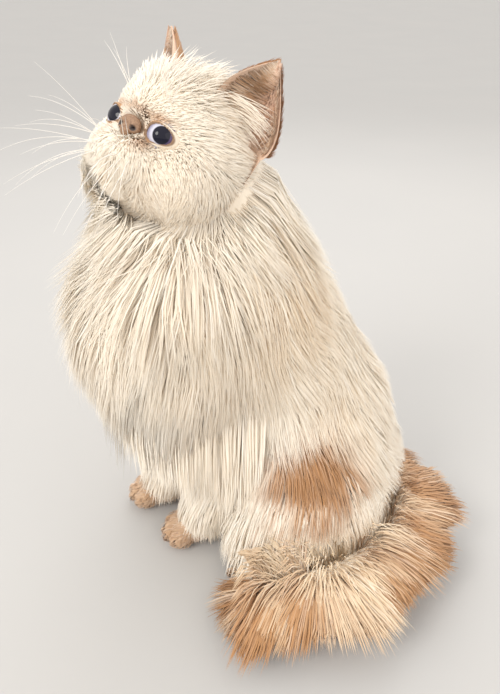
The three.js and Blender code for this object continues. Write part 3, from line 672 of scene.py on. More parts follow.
trunk = melted(*joined(*[ball(BODY, m, BODY_SKIN, 120, 90) for m in BODY_MIDDLES]), 3.0, 4)
feet = {name: ball(form, FOOT_MIDDLES[name], 0.0, 72, 48) for name, form in FOOT_FORMS.items()}
forelegs = [limb(line, FORELEG_RADII, 40, 40, 2) for line in FORELEG_LINES.values()]
tail_core = limb(TAIL_LINE, TAIL_CORE, 40, 80, 5)
body = melted(*joined(trunk, tail_core, *forelegs, *feet.values()), 2.6, 6)
head_places, head_faces = head_skin()
ears = [ear_skin(sign) for sign in SIDES.values()]

places, faces = joined(body, (in_head(head_places), head_faces), *ears)
places[:, 2] = np.maximum(places[:, 2], CLEAR)
marks = body_marks(places)
in_ear = np.zeros(len(places))
in_ear[-sum(len(p) for p, _ in ears):] = 1
marks["pink"] = 0.4 * in_ear
marks["ginger"] = np.maximum(marks["ginger"], 0.45 * in_ear)
skin = piece("skin", places, faces, skin_finish(), "coat_cream", marks)
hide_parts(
    "head", "neck", "chest_ruff", "torso", "tail_base", "tail_middle", "tail_tip",
    *[f"{part}_{side}" for part in ("ear", "foreleg", "forepaw", "hindleg", "hindfoot") for side in SIDES],
)


# Hair

CHEEKS = vec(10, -90, 300), vec(-40, -90, 300)  # from where the ruff fans out, left and right
MAP_MIDDLE = vec(-8, -45, 140)


def body_lie(p):
    """Down and a little back on the body; on the ruff away from a place in each cheek."""
    ruff = (ease(p[:, 2], 110, 205) * ease(-p[:, 1], 24, 84))[:, None]
    down = np.concatenate([0 * ruff, 0.22 * (1 - ruff), 0 * ruff - 1], axis=1)
    return down * (1 - 0.85 * ruff) + unit(p - np.where(p[:, :1] > HEAD_AT[0], *CHEEKS)) * ruff


def head_lie(p):
    """Back from the nose, and into the ruff below the jaw."""
    q = head_local(p)
    back = unit(q * vec(1.1, 1, 0.9) + vec(0, 46, -7.8)) @ HEAD_TURN.T
    fall = ease(-q[:, 2] + 0.3 * np.abs(q[:, 0]), 4, 44)[:, None]
    return back * (1 - 0.8 * fall) + body_lie(p) * fall


class Draw:
    """Random numbers from a seed, one a hair."""

    def __init__(self, seed, count):
        self.source = np.random.default_rng(seed)
        self.count = count

    def even(self, low=0.0, high=1.0):
        return self.source.uniform(low, high, self.count)

    def bell(self):
        return self.source.standard_normal(self.count)


def sown(places, faces, count, weight, draw):
    """Roots scattered over a surface: a face is drawn by its area times a weight, a place in it evenly."""
    a, b, c = (places[faces[:, k]] for k in range(3))
    area = np.linalg.norm(np.cross(b - a, c - a), axis=1) * weight((a + b + c) / 3)
    chosen = draw.source.choice(len(faces), count, p=area / area.sum())
    u, v = draw.source.random((2, count))
    over = u + v > 1
    u, v = np.where(over, 1 - u, u)[:, None], np.where(over, 1 - v, v)[:, None]
    return a[chosen] + (b - a)[chosen] * u + (c - a)[chosen] * v


def level(way, out):
    """The part of a way that runs along the surface, at length 1."""
    return unit(way - out * dot(way, out)[:, None])


def swerved(way, out, angle):
    """A way along the surface, turned about the way out by an angle."""
    way = level(way, out)
    return way * np.cos(angle)[:, None] + np.cross(out, way) * np.sin(angle)[:, None]


ROOTED = 1.2  # how deep a root sits in the skin
SAG = vec(0, 0, -0.25)  # what a step adds to the way of a hair that hangs


def laid(roots, form, lie, long, low, high, rise, steps, swerve, hang=0.0):
    """Hairs that step along the lie of the coat, each turned by its swerve.

    After a step the place is drawn onto the surface at share low + (high - low)·s^rise of the coat,
    where s runs from 0 at the root to 1 at the tip. Where the surface turns under, a hair that hangs
    keeps its way instead and sinks a little.
    """
    at, out = form.onto(roots, low)
    way = level(lie(at), out)
    paths, outs = [roots - out * ROOTED], [out]
    s = np.linspace(0, 1, steps)
    for i in range(1, steps):
        loose = (hang * s[i] ** 0.5 * ease(-out[:, 2], -0.25, 0.35))[:, None]
        way = unit(lerp(swerved(lie(at), out, swerve * s[i]), way + SAG, loose))
        free = at + way * (long * (s[i] - s[i - 1]))[:, None]
        drawn, out = form.onto(free, low + (high - low) * s[i] ** rise, 2)
        at = lerp(drawn, free, loose)
        paths.append(at)
        outs.append(out)
    return np.stack(paths, 1), np.stack(outs, 1)


def gathered(paths, draw, *locks):
    """Hairs drawn into locks, the wide ones first.

    For locks of so many hairs with a pull, that share of the hairs lead. Each other one leans towards
    the nearest of them by pull·s^1.4, a little unevenly, and keeps a quarter of its distance.
    """
    for many, pull in locks:
        roots = paths[:, 0]
        chosen = draw.source.choice(draw.count, max(draw.count // many, 1), replace=False)
        lead = np.concatenate([
            chosen[np.argmin(((part[:, None] - roots[chosen]) ** 2).sum(2), axis=1)]
            for part in np.array_split(roots, max(draw.count // 2000, 1))
        ])
        strength = (0.45 + 0.55 * draw.even())[lead] * (0.75 + 0.25 * draw.even())
        s = np.linspace(0, 1, paths.shape[1]) ** 1.4
        lean = pull * strength[:, None, None] * s[:, None]
        own = 0.25 * (roots - roots[lead])[:, None]
        paths = paths + lean * (paths[lead] + own - paths)
    return paths


def off_floor(paths, clear=1.6):
    """Kept over the floor by clear + 5·exp((z - clear - 5)/5): what would sink under it lies down."""
    paths = paths.copy()
    z = np.minimum(paths[..., 2], clear + 5)
    paths[..., 2] = np.maximum(paths[..., 2], clear + 5 * np.exp((z - clear - 5) / 5))
    return paths


def round_map(p, middle):
    """An unwrap seen from a middle line: its angle round the upright axis and its height angle."""
    d = p - middle
    u = np.arctan2(d[:, 1], d[:, 0]) / (2 * np.pi) + 0.5
    return np.stack([u, 0.5 + 0.5 * d[:, 2] / np.linalg.norm(d, axis=1)], 1)


TAPER = {3: [0.8, 1.0], 4: [0.7, 1.0, 0.75], 5: [0.7, 1.0, 0.95, 0.62]}
FLAT = 0.32  # how thick a hair is for its width
PATCH = 0.003  # how large each hair's own patch of the unwrap is
SOFT, EAR_SOFT = 0.72, 0.45  # how far a hair's shading follows the coat's own surface


def prism(steps):
    """The faces of one hair, and which side they look to.

    At each step but the last it has three places: one side, the ridge and the other side. Its faces
    are a cap at the root, two triangles on each of the three sides a step, and three at the point.
    Those between the two sides look to the skin, -1, and the others look out, 1.
    """
    faces, facing = [(1, 2, 0)], [1]
    for k in range(steps - 2):
        for c in range(3):
            a, b = 3 * k + c, 3 * k + (c + 1) % 3
            faces += [(a + 3, b, a), (a + 3, b + 3, b)]
            facing += [-1 if c == 2 else 1] * 2
    last = 3 * (steps - 2)
    faces += [(last + 3, last + (c + 1) % 3, last + c) for c in range(3)]
    return np.array(faces), np.array(facing + [1, 1, -1])


def shaded(mesh, normals, each):
    """Shades each corner by a way of its own, in hairs of so many places each.

    The edges along a hair's two sides, from ring to ring and from the last ring to the point, are
    sharp, or the outer faces and the one to the skin would share their corners.
    """
    ends = np.empty(2 * len(mesh.edges), np.int32)
    mesh.edges.foreach_get("vertices", ends)
    low, high = np.sort(ends.reshape(-1, 2), 1).T % each
    sharp = (low % 3 != 1) & ((high - low == 3) | (high == each - 1))
    carry(mesh, "sharp_edge", "BOOLEAN", "EDGE", "value", sharp)
    carry(mesh, "custom_normal", "FLOAT_VECTOR", "CORNER", "vector", normals.astype(np.float32).ravel())


fur = fur_finish()


def hairs(name, paths, outs, wide, marks, unwrap, draw, slot="coat_cream", soft=SOFT):
    """Three-sided hairs along their paths, flat against the coat and running out to a point.

    outs are the ways out of the coat: one for all, one a hair, or one a step. A corner is shaded by
    (1 - soft)·its own way from the hair's middle + soft·the way out, which is turned to the skin on
    the side that faces it. The unwrap gives the middle of each hair's patch.
    """
    count, steps = paths.shape[:2]
    if outs.ndim < 3:
        outs = np.broadcast_to(outs[..., None, :], paths.shape)
    way = unit(np.concatenate([paths[:, 1:2] - paths[:, :1], paths[:, 2:] - paths[:, :-2]], 1))
    side = unit(np.cross(way, outs[:, :-1]))
    over = np.cross(side, way)
    half = (np.broadcast_to(wide, count)[:, None] * np.array(TAPER[steps]) / 2)[..., None]
    line = paths[:, :-1]
    ring = np.stack([line + side * half, line + over * half * FLAT, line - side * half], 2)
    places = np.concatenate([ring.reshape(count, -1, 3), paths[:, -1:]], 1)
    rims = np.stack([side, over, -side], 2).reshape(count, -1, 3)
    rims = np.concatenate([rims, 0 * over[:, -1:]], 1)
    coat = np.concatenate([np.repeat(outs[:, :-1], 3, 1), outs[:, -1:]], 1)
    (faces, facing), each = prism(steps), places.shape[1]
    normals = unit((1 - soft) * rims[:, faces] + soft * facing[:, None, None] * coat[:, faces])
    along = np.append(np.repeat(np.linspace(0, 1, steps)[:-1], 3), 1.0)
    across = np.append(np.tile([0.0, 0.5, 1.0], steps - 1), 0.5)
    uv = np.clip(unwrap, 0.002, 0.998)[:, None] + PATCH * (np.stack([along, across], 1) - 0.5)
    values = {key: np.repeat(np.broadcast_to(value, count), each) for key, value in marks.items()}
    values["along"] = np.tile(along, count)
    values["own"] = np.repeat(draw.even(), each)
    faces = (faces + (np.arange(count) * each)[:, None, None]).reshape(-1, 3)
    mesh = piece(name, places.reshape(-1, 3), faces, fur, slot, values).data
    uv = uv.reshape(-1, 2)[faces.ravel()]
    mesh.uv_layers.new(name="OFBake").data.foreach_set("uv", uv.ravel())
    shaded(mesh, normals, each)


def thigh(p):
    return (np.abs(p[:, 0]) > 26) & (np.hypot(p[:, 1] + 16, p[:, 2] - 50) < 54)


def ruff_share(p):
    return ease(p[:, 2], 120, 190) * ease(-p[:, 1], 30, 80)


def on_side(p, sign):
    """1 on the left or right of the body's middle, which leans over to its right."""
    return ((p[:, 0] > MAP_MIDDLE[0]) == (sign > 0)).astype(float)


def body_hairs(name, seed, where, count, lock, wide, steps, hang):
    """Hair of the trunk: longer, more uneven and with a few strays on the ruff, and higher over the
    root of the tail. None grows inside the head."""
    draw = Draw(seed, count)
    roots = sown(*trunk, count * 5 // 4, where, draw)
    inside = HEAD.field(head_local(roots), 0.14)[0] > 0
    roots = roots[~inside][:count]
    draw.count = len(roots)
    ruff = ruff_share(roots)
    uneven = 1 + lerp(0.08, 0.22, ruff) * drift(roots, 6, 15)
    long = np.where(thigh(roots), 56, lerp(56, 84, ruff)) * draw.even(0.7, 1.15) * uneven
    high = 0.96 + 0.09 * drift(roots, 5, 6) + 0.07 * draw.bell()
    high += 0.3 * bump(roots, vec(0, 44, 110), vec(60, 30, 50))
    long *= 1 + 0.5 * ruff * (draw.even() < 0.2)
    high += 0.09 * ruff * draw.even() * (draw.even() < 0.35)
    swerve = 0.28 * drift(roots, 13, 7) + 0.12 * draw.bell()
    paths, outs = laid(roots, WHOLE, body_lie, long, BODY_SKIN, high, 0.85, steps, swerve, hang)
    paths = gathered(paths, draw, (90, 0.5), lock)
    marks = body_marks(paths[:, 1])
    marks["ginger"] = marks["ginger"] * draw.even(0.75, 1.1)
    wide = wide * draw.even(0.7, 1.2)
    hairs(name, off_floor(paths), outs, wide, marks, round_map(roots, MAP_MIDDLE), draw)


def in_ruff(p):
    return ruff_share(p) > 0.35


RUFF_CUT = 214  # the height at which the ruff is parted into two pieces
COAT = {  # where it grows, how many hairs, the locks' count and pull, the width, the steps, the hang
    "ruff_low": (lambda p: in_ruff(p) * (p[:, 2] <= RUFF_CUT), 6600, (20, 0.8), 1.15, 4, 1.0),
    "ruff_high": (lambda p: in_ruff(p) * (p[:, 2] > RUFF_CUT), 6600, (20, 0.78), 1.1, 4, 0.7),
    "body": (lambda p: ~in_ruff(p) * ~thigh(p) * (p[:, 2] > 10), 10000, (15, 0.6), 1.2, 3, 0.5),
    "thigh": (lambda p: thigh(p) * (p[:, 2] > 12), 5200, (15, 0.6), 1.15, 3, 0.9),
}
for side, sign in SIDES.items():
    for i, (name, (where, *sizes)) in enumerate(COAT.items()):
        body_hairs(f"coat_{name}_{side}", 40 + 4 * i + sign, lambda p: where(p) * on_side(p, sign), *sizes)


def to_ears(q):
    """The distance from the line between an ear's front and outer foot, on either side."""
    return off_line(np.abs(q * vec(1, 0, 0)) + q * vec(0, 1, 1), EAR_FRONT, EAR_OUTER)


def head_hairs(name, seed, where, count):
    """Hair of the head: short on the face and shortest at the stop, longer on the chin and towards the
    ruff, raised in tufts on the crown. At the nape it is laid on the head and the body together."""
    draw = Draw(seed, count)
    q = sown(head_places, head_faces, count * 3 // 2, where, draw)
    shift = vec(1.5, 0, 0)
    inner = np.minimum(eye_share(q + shift, -1), eye_share(q - shift, 1))
    leather = bump(q, NOSE_AT, vec(8, 9, 7)) > 0.42
    q = q[(nearer_eye(q) > 1.1) & (inner > 1.2) & ~leather][:count]
    draw.count = len(q)
    face, low, crown = ease(-q[:, 1], 4, 28), ease(-q[:, 2], 4, 30), ease(q[:, 2], 22, 38)
    behind = 1 - face
    cheek = ease(np.abs(q[:, 0]), 20, 42) * behind
    pads = bumps(q, vec(9.5, -42, -13), vec(12, 12, 11))
    under = bumps(q, vec(9.5, -40, -21), vec(12, 14, 7))
    stop = bump(q, vec(-3, -38, 9), vec(12, 10, 10))
    ear = ease(to_ears(q), 3, 15)
    nape = ease(0.6 * q[:, 1] - q[:, 2], 4, 28)
    long = lerp(22, 6.5, face) + 32 * low * behind + 8 * cheek + 12 * nape * behind + 3 * pads + 7 * under
    long = (long + 12 * low * face) * draw.even(0.7, 1.2)
    long *= lerp(0.5, 1, ease(nearer_eye(q), 1.1, 2.0)) * lerp(0.6, 1, ear)
    high = lerp(0.8, 0.22, face) + 0.6 * pads + 0.05 * draw.bell()
    long *= 1 - 0.6 * stop
    tuft = crown * (draw.even() < 0.14)
    high = high + crown * draw.even(0, 0.4) + 0.7 * tuft + 0.15 * nape * behind
    high = high * lerp(0.3, 1, ear)
    long *= 1 + 0.4 * tuft
    swerve = 0.12 * draw.bell() + 0.3 * drift(q, 5, 8)
    roots = in_head(q)
    paths, outs = laid(roots, HEAD_PLACED, head_lie, long, HEAD_SKIN, high, 0.7, 3, swerve)
    lower, lower_outs = laid(roots, WHOLE, head_lie, long, 0.4, high, 0.7, 3, swerve)
    fall = (nape * behind)[:, None, None]
    paths = gathered(lerp(paths, lower, fall), draw, (8, 0.5))
    wide = lerp(0.9, 0.72, face) * draw.even(0.7, 1.2)
    marks = body_marks(paths[:, 0])
    hairs(name, paths, unit(lerp(outs, lower_outs, fall)), wide, marks, round_map(q, HEAD_MIDDLE), draw)


def denser(p, sign):
    """More hairs on a cheek, below the eye."""
    return 1 + 1.6 * bump(p, vec(sign * 22, -24, -6), vec(16, 16, 12))


FACE_ENDS = -10
for side, sign in SIDES.items():
    head_hairs(f"coat_face_{side}", 70 + sign,
               lambda p: (p[:, 0] * sign > 0) * (p[:, 1] < FACE_ENDS) * denser(p, sign), 9500)
    head_hairs(f"coat_head_{side}", 80 + sign,
               lambda p: (p[:, 0] * sign > 0) * (p[:, 1] >= FACE_ENDS), 6000)


def free_hairs(roots, tips, bend, steps=4):
    """Hairs on quadratic curves, root·(1 - s)² + (middle + bend)·2s(1 - s) + tip·s²."""
    s = np.linspace(0, 1, steps)[:, None]
    middle = (roots + tips) / 2 + bend
    a, b, c = roots[:, None], middle[:, None], tips[:, None]
    return a * (1 - s) ** 2 + b * 2 * s * (1 - s) + c * s ** 2


def hanging_hairs(name, seed, where, count, edge, out_by):
    """Long hair that hangs from the body down to a lower edge, bowing outwards on the way."""
    draw = Draw(seed, count)
    roots, out = WHOLE.onto(sown(*trunk, count, where, draw), BODY_SKIN)
    uneven = 0.92 + 0.1 * drift(roots, 5, 9) + 0.07 * draw.bell()
    long = np.maximum(np.minimum(roots[:, 2] - edge(roots), 96) * uneven, 8)[:, None]
    flat = unit(out * vec(1, 1, 0))
    tips = roots + flat * draw.even(*out_by)[:, None] - vec(0, 0, 1) * long
    paths = free_hairs(roots - out, tips, flat * draw.even(6, 12)[:, None])
    paths = off_floor(gathered(paths, draw, (90, 0.45), (13, 0.6)))
    outs = unit(flat + vec(0, 0, 0.2))
    hairs(name, paths, outs, 1.1, body_marks(roots), round_map(roots, MAP_MIDDLE), draw)


def breast_edge(p):
    """Over the forelegs the lower edge of the hair rises towards the front."""
    return np.interp(-p[:, 1], [60, 82, 112, 140], [24, 34, 66, 112])


def foreleg_hairs(side, seed, count):
    """Hair round a foreleg: long and hanging above, short by the paw. The roots lie in level rings,
    so where the leg leans by an angle they are set out by 1/cos of it."""
    draw = Draw(seed, count)
    t, a = draw.even(0.02, 0.98), draw.even(0, 2 * np.pi)
    line = FORELEG_LINES[side]
    middle = smooth_line(line, t)
    out = np.stack([np.cos(a), np.sin(a), 0 * a], 1)
    radius = np.interp(t, [0, 0.33, 0.66, 1], FORELEG_RADII)[:, None]
    long = lerp(46, 13, ease(t, 0.45, 0.95)) * draw.even(0.7, 1.2)
    later = smooth_line(line, np.minimum(t + 0.3, 1))
    down = unit(later - middle + vec(0, 0, -14))
    lean = dot(out, along_line(line, t))[:, None]
    roots = middle + out * (radius / np.sqrt(1 - lean ** 2) - 2)
    back = np.clip(out[:, 1], 0, 1)[:, None]
    tips = roots + down * long[:, None] + out * (4 + 5 * back + 1.5 * draw.bell()[:, None])
    paths = off_floor(gathered(free_hairs(roots, tips, out * 3.5), draw, (12, 0.6)))
    unwrap = np.stack([a / (2 * np.pi), t], 1)
    hairs(f"coat_foreleg_{side}", paths, out, 1.15, body_marks(roots), unwrap, draw)


def foot_lie(p):
    return np.broadcast_to(vec(0, -1, -0.55), p.shape)


def foot_hairs(name, seed, count):
    """Short ginger fur, sunk in the splits between the toes and darkened there by painted shade."""
    draw = Draw(seed, count)
    x, y, turn, hind = FEET[name]
    roots = sown(*feet[name], count, lambda p: (p[:, 2] > 3) * 1.0, draw)
    local = (roots - vec(x, y, 0)) @ turned(2, turn)
    split = sum(np.exp(-((local[:, 0] - at) / 1.3) ** 2) for at in (-7.7, 0, 7.7))
    split *= ease(-local[:, 1], *((16, 24) if hind else (8, 16)))
    long = draw.even(5, 9) * (1 - 0.5 * split)
    high = 0.85 + 0.15 * draw.bell() - 0.8 * split
    swerve = 0.25 * draw.bell()
    paths, outs = laid(roots, FOOT_FORMS[name], foot_lie, long, 0.0, high, 0.8, 3, swerve)
    marks = body_marks(roots)
    marks["ginger"] = np.clip(0.45 + 0.3 * marks["ginger"], 0, 0.8)
    # Painted shade in the splits between the toes.
    marks["deep"] = 0.55 * split
    unwrap = round_map(roots, FOOT_MIDDLES[name])
    hairs(f"coat_{name}", off_floor(paths, 0.9), outs, 0.9, marks, unwrap, draw, "coat_flame")


def by_knee(p):
    return (p[:, 2] > 26) * (p[:, 2] < 92) * (p[:, 1] < -30) * (np.abs(p[:, 0]) > 16)


for side, sign in SIDES.items():
    hanging_hairs(f"coat_apron_{side}", 86 + sign,
                  lambda p: on_side(p, sign) * (p[:, 2] > 70) * (p[:, 2] < 190) * (p[:, 1] < -52),
                  1700, breast_edge, (12, 24))
    hanging_hairs(f"coat_knee_{side}", 82 + sign,
                  lambda p: on_side(p, sign) * by_knee(p), 1300, lambda p: 5.0, (12, 26))
    foreleg_hairs(side, 90 + sign, 2600)
for i, name in enumerate(FEET):
    foot_hairs(name, 95 + i, 1200)


WHORL, SPREAD_FROM = vec(94, -18, 44), vec(62, -14, 34)  # on the tail's outer side, and within


def tail_hairs(name, seed, low, high, count):
    """Hair of the plume, which spreads outwards over the tail's outer side down to the floor and is
    pale at the whorl. On the inner side it rises and leans towards the tip."""
    draw = Draw(seed, count)
    t, a = draw.even(low, high), np.radians(draw.even(-50, 168))
    middle, way = smooth_line(TAIL_LINE, t), along_line(TAIL_LINE, t)
    outward = unit(np.stack([-way[:, 1], way[:, 0], 0 * t], 1))
    outward *= np.sign(dot(outward, middle - SPREAD_FROM))[:, None]
    out = outward * np.cos(a)[:, None] + vec(0, 0, 1) * np.sin(a)[:, None]
    core = np.interp(t * 5, range(6), TAIL_CORE) - 6
    roots = middle + out * core[:, None]
    radial = unit((roots - SPREAD_FROM) * vec(1, 1, 0))
    turn = 0.35 * drift(roots, 9, 11)[:, None]
    stray = 0.18 * draw.source.standard_normal((count, 3)) * vec(1, 1, 0)
    spread = unit(0.5 * outward + 0.75 * radial + turn * way + stray)
    fan = lerp(0.75, 1, ease(t, 0.1, 0.6))
    over = np.clip(np.sin(a), 0, 1)
    long = lerp(26, 48, over) * fan * draw.even(0.75, 1.12) * (1 + 0.22 * drift(roots, 5, 12))
    drop = lerp(-8, 12, over) + 2 * draw.bell()
    tips = roots + spread * long[:, None] - vec(0, 0, 1) * drop[:, None]
    inner = ease(-np.cos(a), 0.05, 0.6)[:, None]
    tips = lerp(tips, roots + out * 24 + way * 12 + vec(0, 0, 16), inner)
    paths = free_hairs(roots, tips, out * 8 + vec(0, 0, 3))
    paths = off_floor(gathered(paths, draw, (90, 0.35), (13, 0.5)))
    upper = lerp(out + vec(0, 0, 0.5), vec(0.25, 0, 1), inner)[:, None]
    facing = lerp(spread, vec(0, 0, 0.5), inner)[:, None] * np.linspace(0, 0.8, 4)[:, None]
    streak = 0.5 + 0.5 * np.clip(1.4 * drift(roots * vec(1, 1, 0.3), 4.5, 13), -1, 1)
    pale = bump(roots, WHORL, vec(24, 24, 15))
    marks = body_marks(roots)
    near = 1 - 0.6 * inner[:, 0]
    # The streaks are the tail's own ginger and brown. The terms in 1 - over, which darken the hairs below the
    # tail's top, are painted shade on its lower side.
    marks["ginger"] = np.clip(0.5 + 0.45 * streak + 0.2 * (1 - over) - 0.6 * pale, 0.2, 1) * near
    deep = 0.24 * ease(streak, 0.5, 1) + 0.12 * (1 - over)
    marks["deep"] = deep * (1 - pale) * near * ease(near, 0.5, 0.9)
    marks["warm"] = np.clip(marks["warm"] + 0.75, 0, 1)
    unwrap = np.stack([a / (2 * np.pi) + 0.25, t], 1)
    wide = 1.2 * draw.even(0.7, 1.2)
    hairs(name, paths, unit(upper + facing), wide, marks, unwrap, draw, "coat_flame")


def tail_tip_hairs(name, seed, count):
    """Hair that fans out flat from the end of the tail, streaked by sin(9·angle)."""
    draw = Draw(seed, count)
    middle = smooth_line(TAIL_LINE, draw.even(0.9, 0.99))
    angle = np.radians(draw.even(-40, 75))
    x, y, _ = along_line(TAIL_LINE, [0.99])[0]
    c, s = np.cos(angle), np.sin(angle)
    flat = np.stack([x * c - y * s, x * s + y * c, 0 * angle], 1)
    roots = middle + flat * 5 + vec(0, 0, 1) * draw.even(-7, 9)[:, None]
    tips = middle + flat * draw.even(30, 44)[:, None]
    tips[:, 2] = draw.even(2, 14)
    paths = off_floor(gathered(free_hairs(roots, tips, vec(0, 0, 6)), draw, (14, 0.7)))
    streak = np.sin(angle * 9)
    marks = body_marks(roots) | {"ginger": 0.7 + 0.3 * streak, "deep": 0.25 + 0.25 * streak, "warm": 0.7}
    unwrap = np.stack([angle / 3 + 0.5, draw.even()], 1)
    hairs(name, paths, vec(0, 0, 1), 1.2, marks, unwrap, draw, "coat_flame")


tail_hairs("coat_tail_base", 101, 0.02, 0.5, 4000)
tail_hairs("coat_tail_end", 102, 0.5, 1.0, 4600)
tail_tip_hairs("coat_tail_tip", 103, 1000)


def ear_frame(across, up, back, sign):
    """A place on the ear, the way to its tip and the way out of its back."""
    def place(across, up):
        return ear_place(across, up, np.full((len(up), 1), back), sign)

    at = place(across, up)
    rise = unit(at - place(across, up - 0.04))
    wide = place(np.minimum(across + 0.03, 1), up) - place(np.maximum(across - 0.03, -1), up)
    out = unit(np.cross(rise, wide))
    return at, rise, out * np.sign(dot(out, ear_way(EAR_BACK, sign)))[:, None]


def ear_back_hairs(side, sign, draw):
    """Short ginger fur on the back of the ear and along its rims."""
    across, up = -0.94 * np.cos(np.pi * draw.even()), 0.92 * (1 - draw.even() ** 0.6)
    roots, rise, out = ear_frame(across, up, 0.8, sign)
    long = draw.even(4, 8) * (1 - 0.6 * ease(up, 0.8, 1))
    tips = roots + rise * long[:, None] + out * draw.even(0.6, 2.4)[:, None]
    marks = body_marks(roots) | {"ginger": 0.75 + 0.2 * draw.even(), "deep": 0.0}
    unwrap = np.stack([across / 2 + 0.5, up], 1)
    paths = free_hairs(roots, tips, out * 0.6, 3)
    hairs(f"coat_ear_{side}", paths, out, 0.75, marks, unwrap, draw, "coat_flame", EAR_SOFT)


def ear_inside_hairs(side, sign, draw):
    """Fur inside the ear, denser by the rims and longer by the front edge, where some is brown. It
    leans over the opening and stays within the ear's width."""
    back = -0.8
    across, up = draw.even(-0.98, 0.98), draw.even(0.02, 0.97)
    rim, front = ease(np.abs(across), 0.45, 0.9), ease(-across, -0.1, 0.7)
    keep = draw.even() < 0.25 + 0.75 * np.maximum(rim, front)
    across, up, rim, front = across[keep], up[keep], rim[keep], front[keep]
    draw.count = count = len(up)
    level_back = np.full((count, 1), back)
    roots, rise, out = ear_frame(across * 0.95, up, back, sign)
    over = unit(ear_place(across * 0.9 + 0.1, up, level_back, sign) - roots)
    long = lerp(6, 13, front) * draw.even(0.6, 1.1)
    lean = np.where(across < 0, 0.9, 0.15)[:, None]
    way = unit(rise * 0.6 + over * lean - out * lerp(0.25, 0.6, front)[:, None])
    far_edge = ear_place(np.full(count, 0.95), up, level_back, sign)
    long = np.minimum(long, 2 + 0.6 * np.linalg.norm(far_edge - roots, axis=1))
    tips = roots + way * long[:, None]
    brown = bump(np.stack([across, up], 1), vec(-0.75, 0.5), vec(0.4, 0.3))
    ginger = np.clip(0.5 + 0.3 * draw.even() - 0.2 * front + 0.4 * brown, 0, 1)
    marks = body_marks(roots) | {"ginger": ginger, "deep": 0.75 * brown}
    marks["pink"] = 0.5 * (1 - rim) * (1 - brown)
    unwrap = np.stack([across / 2 + 0.5, up], 1)
    paths = free_hairs(roots, tips, -out * 1.5, 3)
    hairs(f"coat_ear_inside_{side}", paths, -out, 0.6, marks, unwrap, draw, "coat_flame", EAR_SOFT)


def ear_wisps(side, sign, seed, count):
    """Long pale wisps, in seven thin locks, that sweep from the front edge over the opening."""
    draw = Draw(seed, count)
    locks = 7
    lock = draw.source.integers(0, locks, count)
    starts, ends = np.linspace(-0.12, 0.16, locks), np.linspace(0.12, 0.46, locks)
    reaches, bows = draw.source.uniform(0.5, 0.98, locks), draw.source.uniform(2, 6, locks)
    up = starts[lock] + 0.035 * draw.bell()
    roots = ear_place(draw.even(-1.0, -0.6), up, np.full((count, 1), 0.2), sign)
    reach = np.clip(reaches[lock] + 0.2 * draw.bell(), -0.6, 0.97)
    drop = ends[lock] + 0.06 * draw.bell()
    tips = ear_place(reach, drop, np.full((count, 1), -EAR_DEEP * 0.75), sign)
    front, rise = ear_way(-EAR_BACK, sign), ear_way(EAR_UP, sign)
    bow = front * draw.even(0, 4)[:, None]
    bow = bow + rise * (bows[lock] + draw.bell())[:, None]
    marks = body_marks(roots) | {"ginger": 0.05 + 0.15 * draw.even()}
    unwrap = np.stack([draw.even(), up], 1)
    paths = free_hairs(roots, tips, bow, 5)
    hairs(f"coat_ear_wisps_{side}", paths, front, 0.42, marks, unwrap, draw)


for side, sign in SIDES.items():
    ear_draw = Draw(110 + sign, 2300)
    ear_back_hairs(side, sign, ear_draw)
    ear_inside_hairs(side, sign, ear_draw)
    ear_wisps(side, sign, 114 + sign, 84)


# Eyes, nose and whiskers

GAZE = {1: vec(0.25, -1, 0.02), -1: vec(0.3, -1, 0.02)}


def eye_finish(side, sign):
    """A wide dark pupil in a lilac iris, by the angle from where the eye looks, darker away from the pupil
    and with painted shade over its outer side.
    """
    finish = Finish(f"eye_{side}")
    middle, turn = eye_frame(sign)
    gaze = HEAD_TURN @ unit(turn @ GAZE[sign])
    aside = HEAD_TURN @ turn @ vec(sign, 0, 0)
    at = finish.vector("SUBTRACT", finish.place(), tuple(in_head(middle) * MM))
    at = finish.vector("NORMALIZE", at)
    cosine = finish.vector("DOT_PRODUCT", at, tuple(gaze))
    across = finish.vector("DOT_PRODUCT", at, tuple(aside))
    angle = cosine.math("ARCCOSINE", cosine)
    streaks = finish.noise(900.0, 4.0) - 0.5
    iris = finish.mix((0.60, 0.60, 0.70), (0.30, 0.29, 0.42), (angle + streaks * 0.3).ramp(0.48, 0.9))
    # Painted shade: the iris darkens towards the eye's outer side.
    iris = finish.mix(iris, (0.10, 0.07, 0.15), (across + streaks * 0.2).ramp(0.05, 0.5))
    colour = finish.mix(iris, (0.006, 0.006, 0.017), 1 - angle.ramp(0.42, 0.48))
    colour = finish.mix(colour, (0.05, 0.03, 0.03), angle.ramp(0.95, 1.05))
    return finish.shade(colour, 0.06, Specular_IOR_Level=0.25, Coat_Weight=0.12, Coat_Roughness=0.02)


BALL, CORNEA = 10.9, 0.9


def eyeball(sign):
    """A ball whose front swells to the cornea: r = BALL + CORNEA·exp(-(angle/0.5)²)."""
    middle, turn = eye_frame(sign)
    v, a = np.meshgrid(np.pi * np.arange(1, 48) / 48, round_angles(64), indexing="ij")
    r = BALL + CORNEA * np.exp(-(v / 0.5) ** 2)
    ways = np.stack([np.sin(v) * np.cos(a), -np.cos(v), np.sin(v) * np.sin(a)], -1)
    grid = in_head(middle + (ways * r[..., None]) @ turn.T)
    ends = [in_head(middle + turn @ vec(0, y, 0)) for y in (-BALL - CORNEA, BALL)]
    return rings_closed(grid, *ends)


for side, sign in SIDES.items():
    eye = piece(f"eyeball_{side}", *eyeball(sign), eye_finish(side, sign), "eye")
    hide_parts(f"eye_{side}")


NOSTRIL = vec(4.7, -3.2, -1.6)


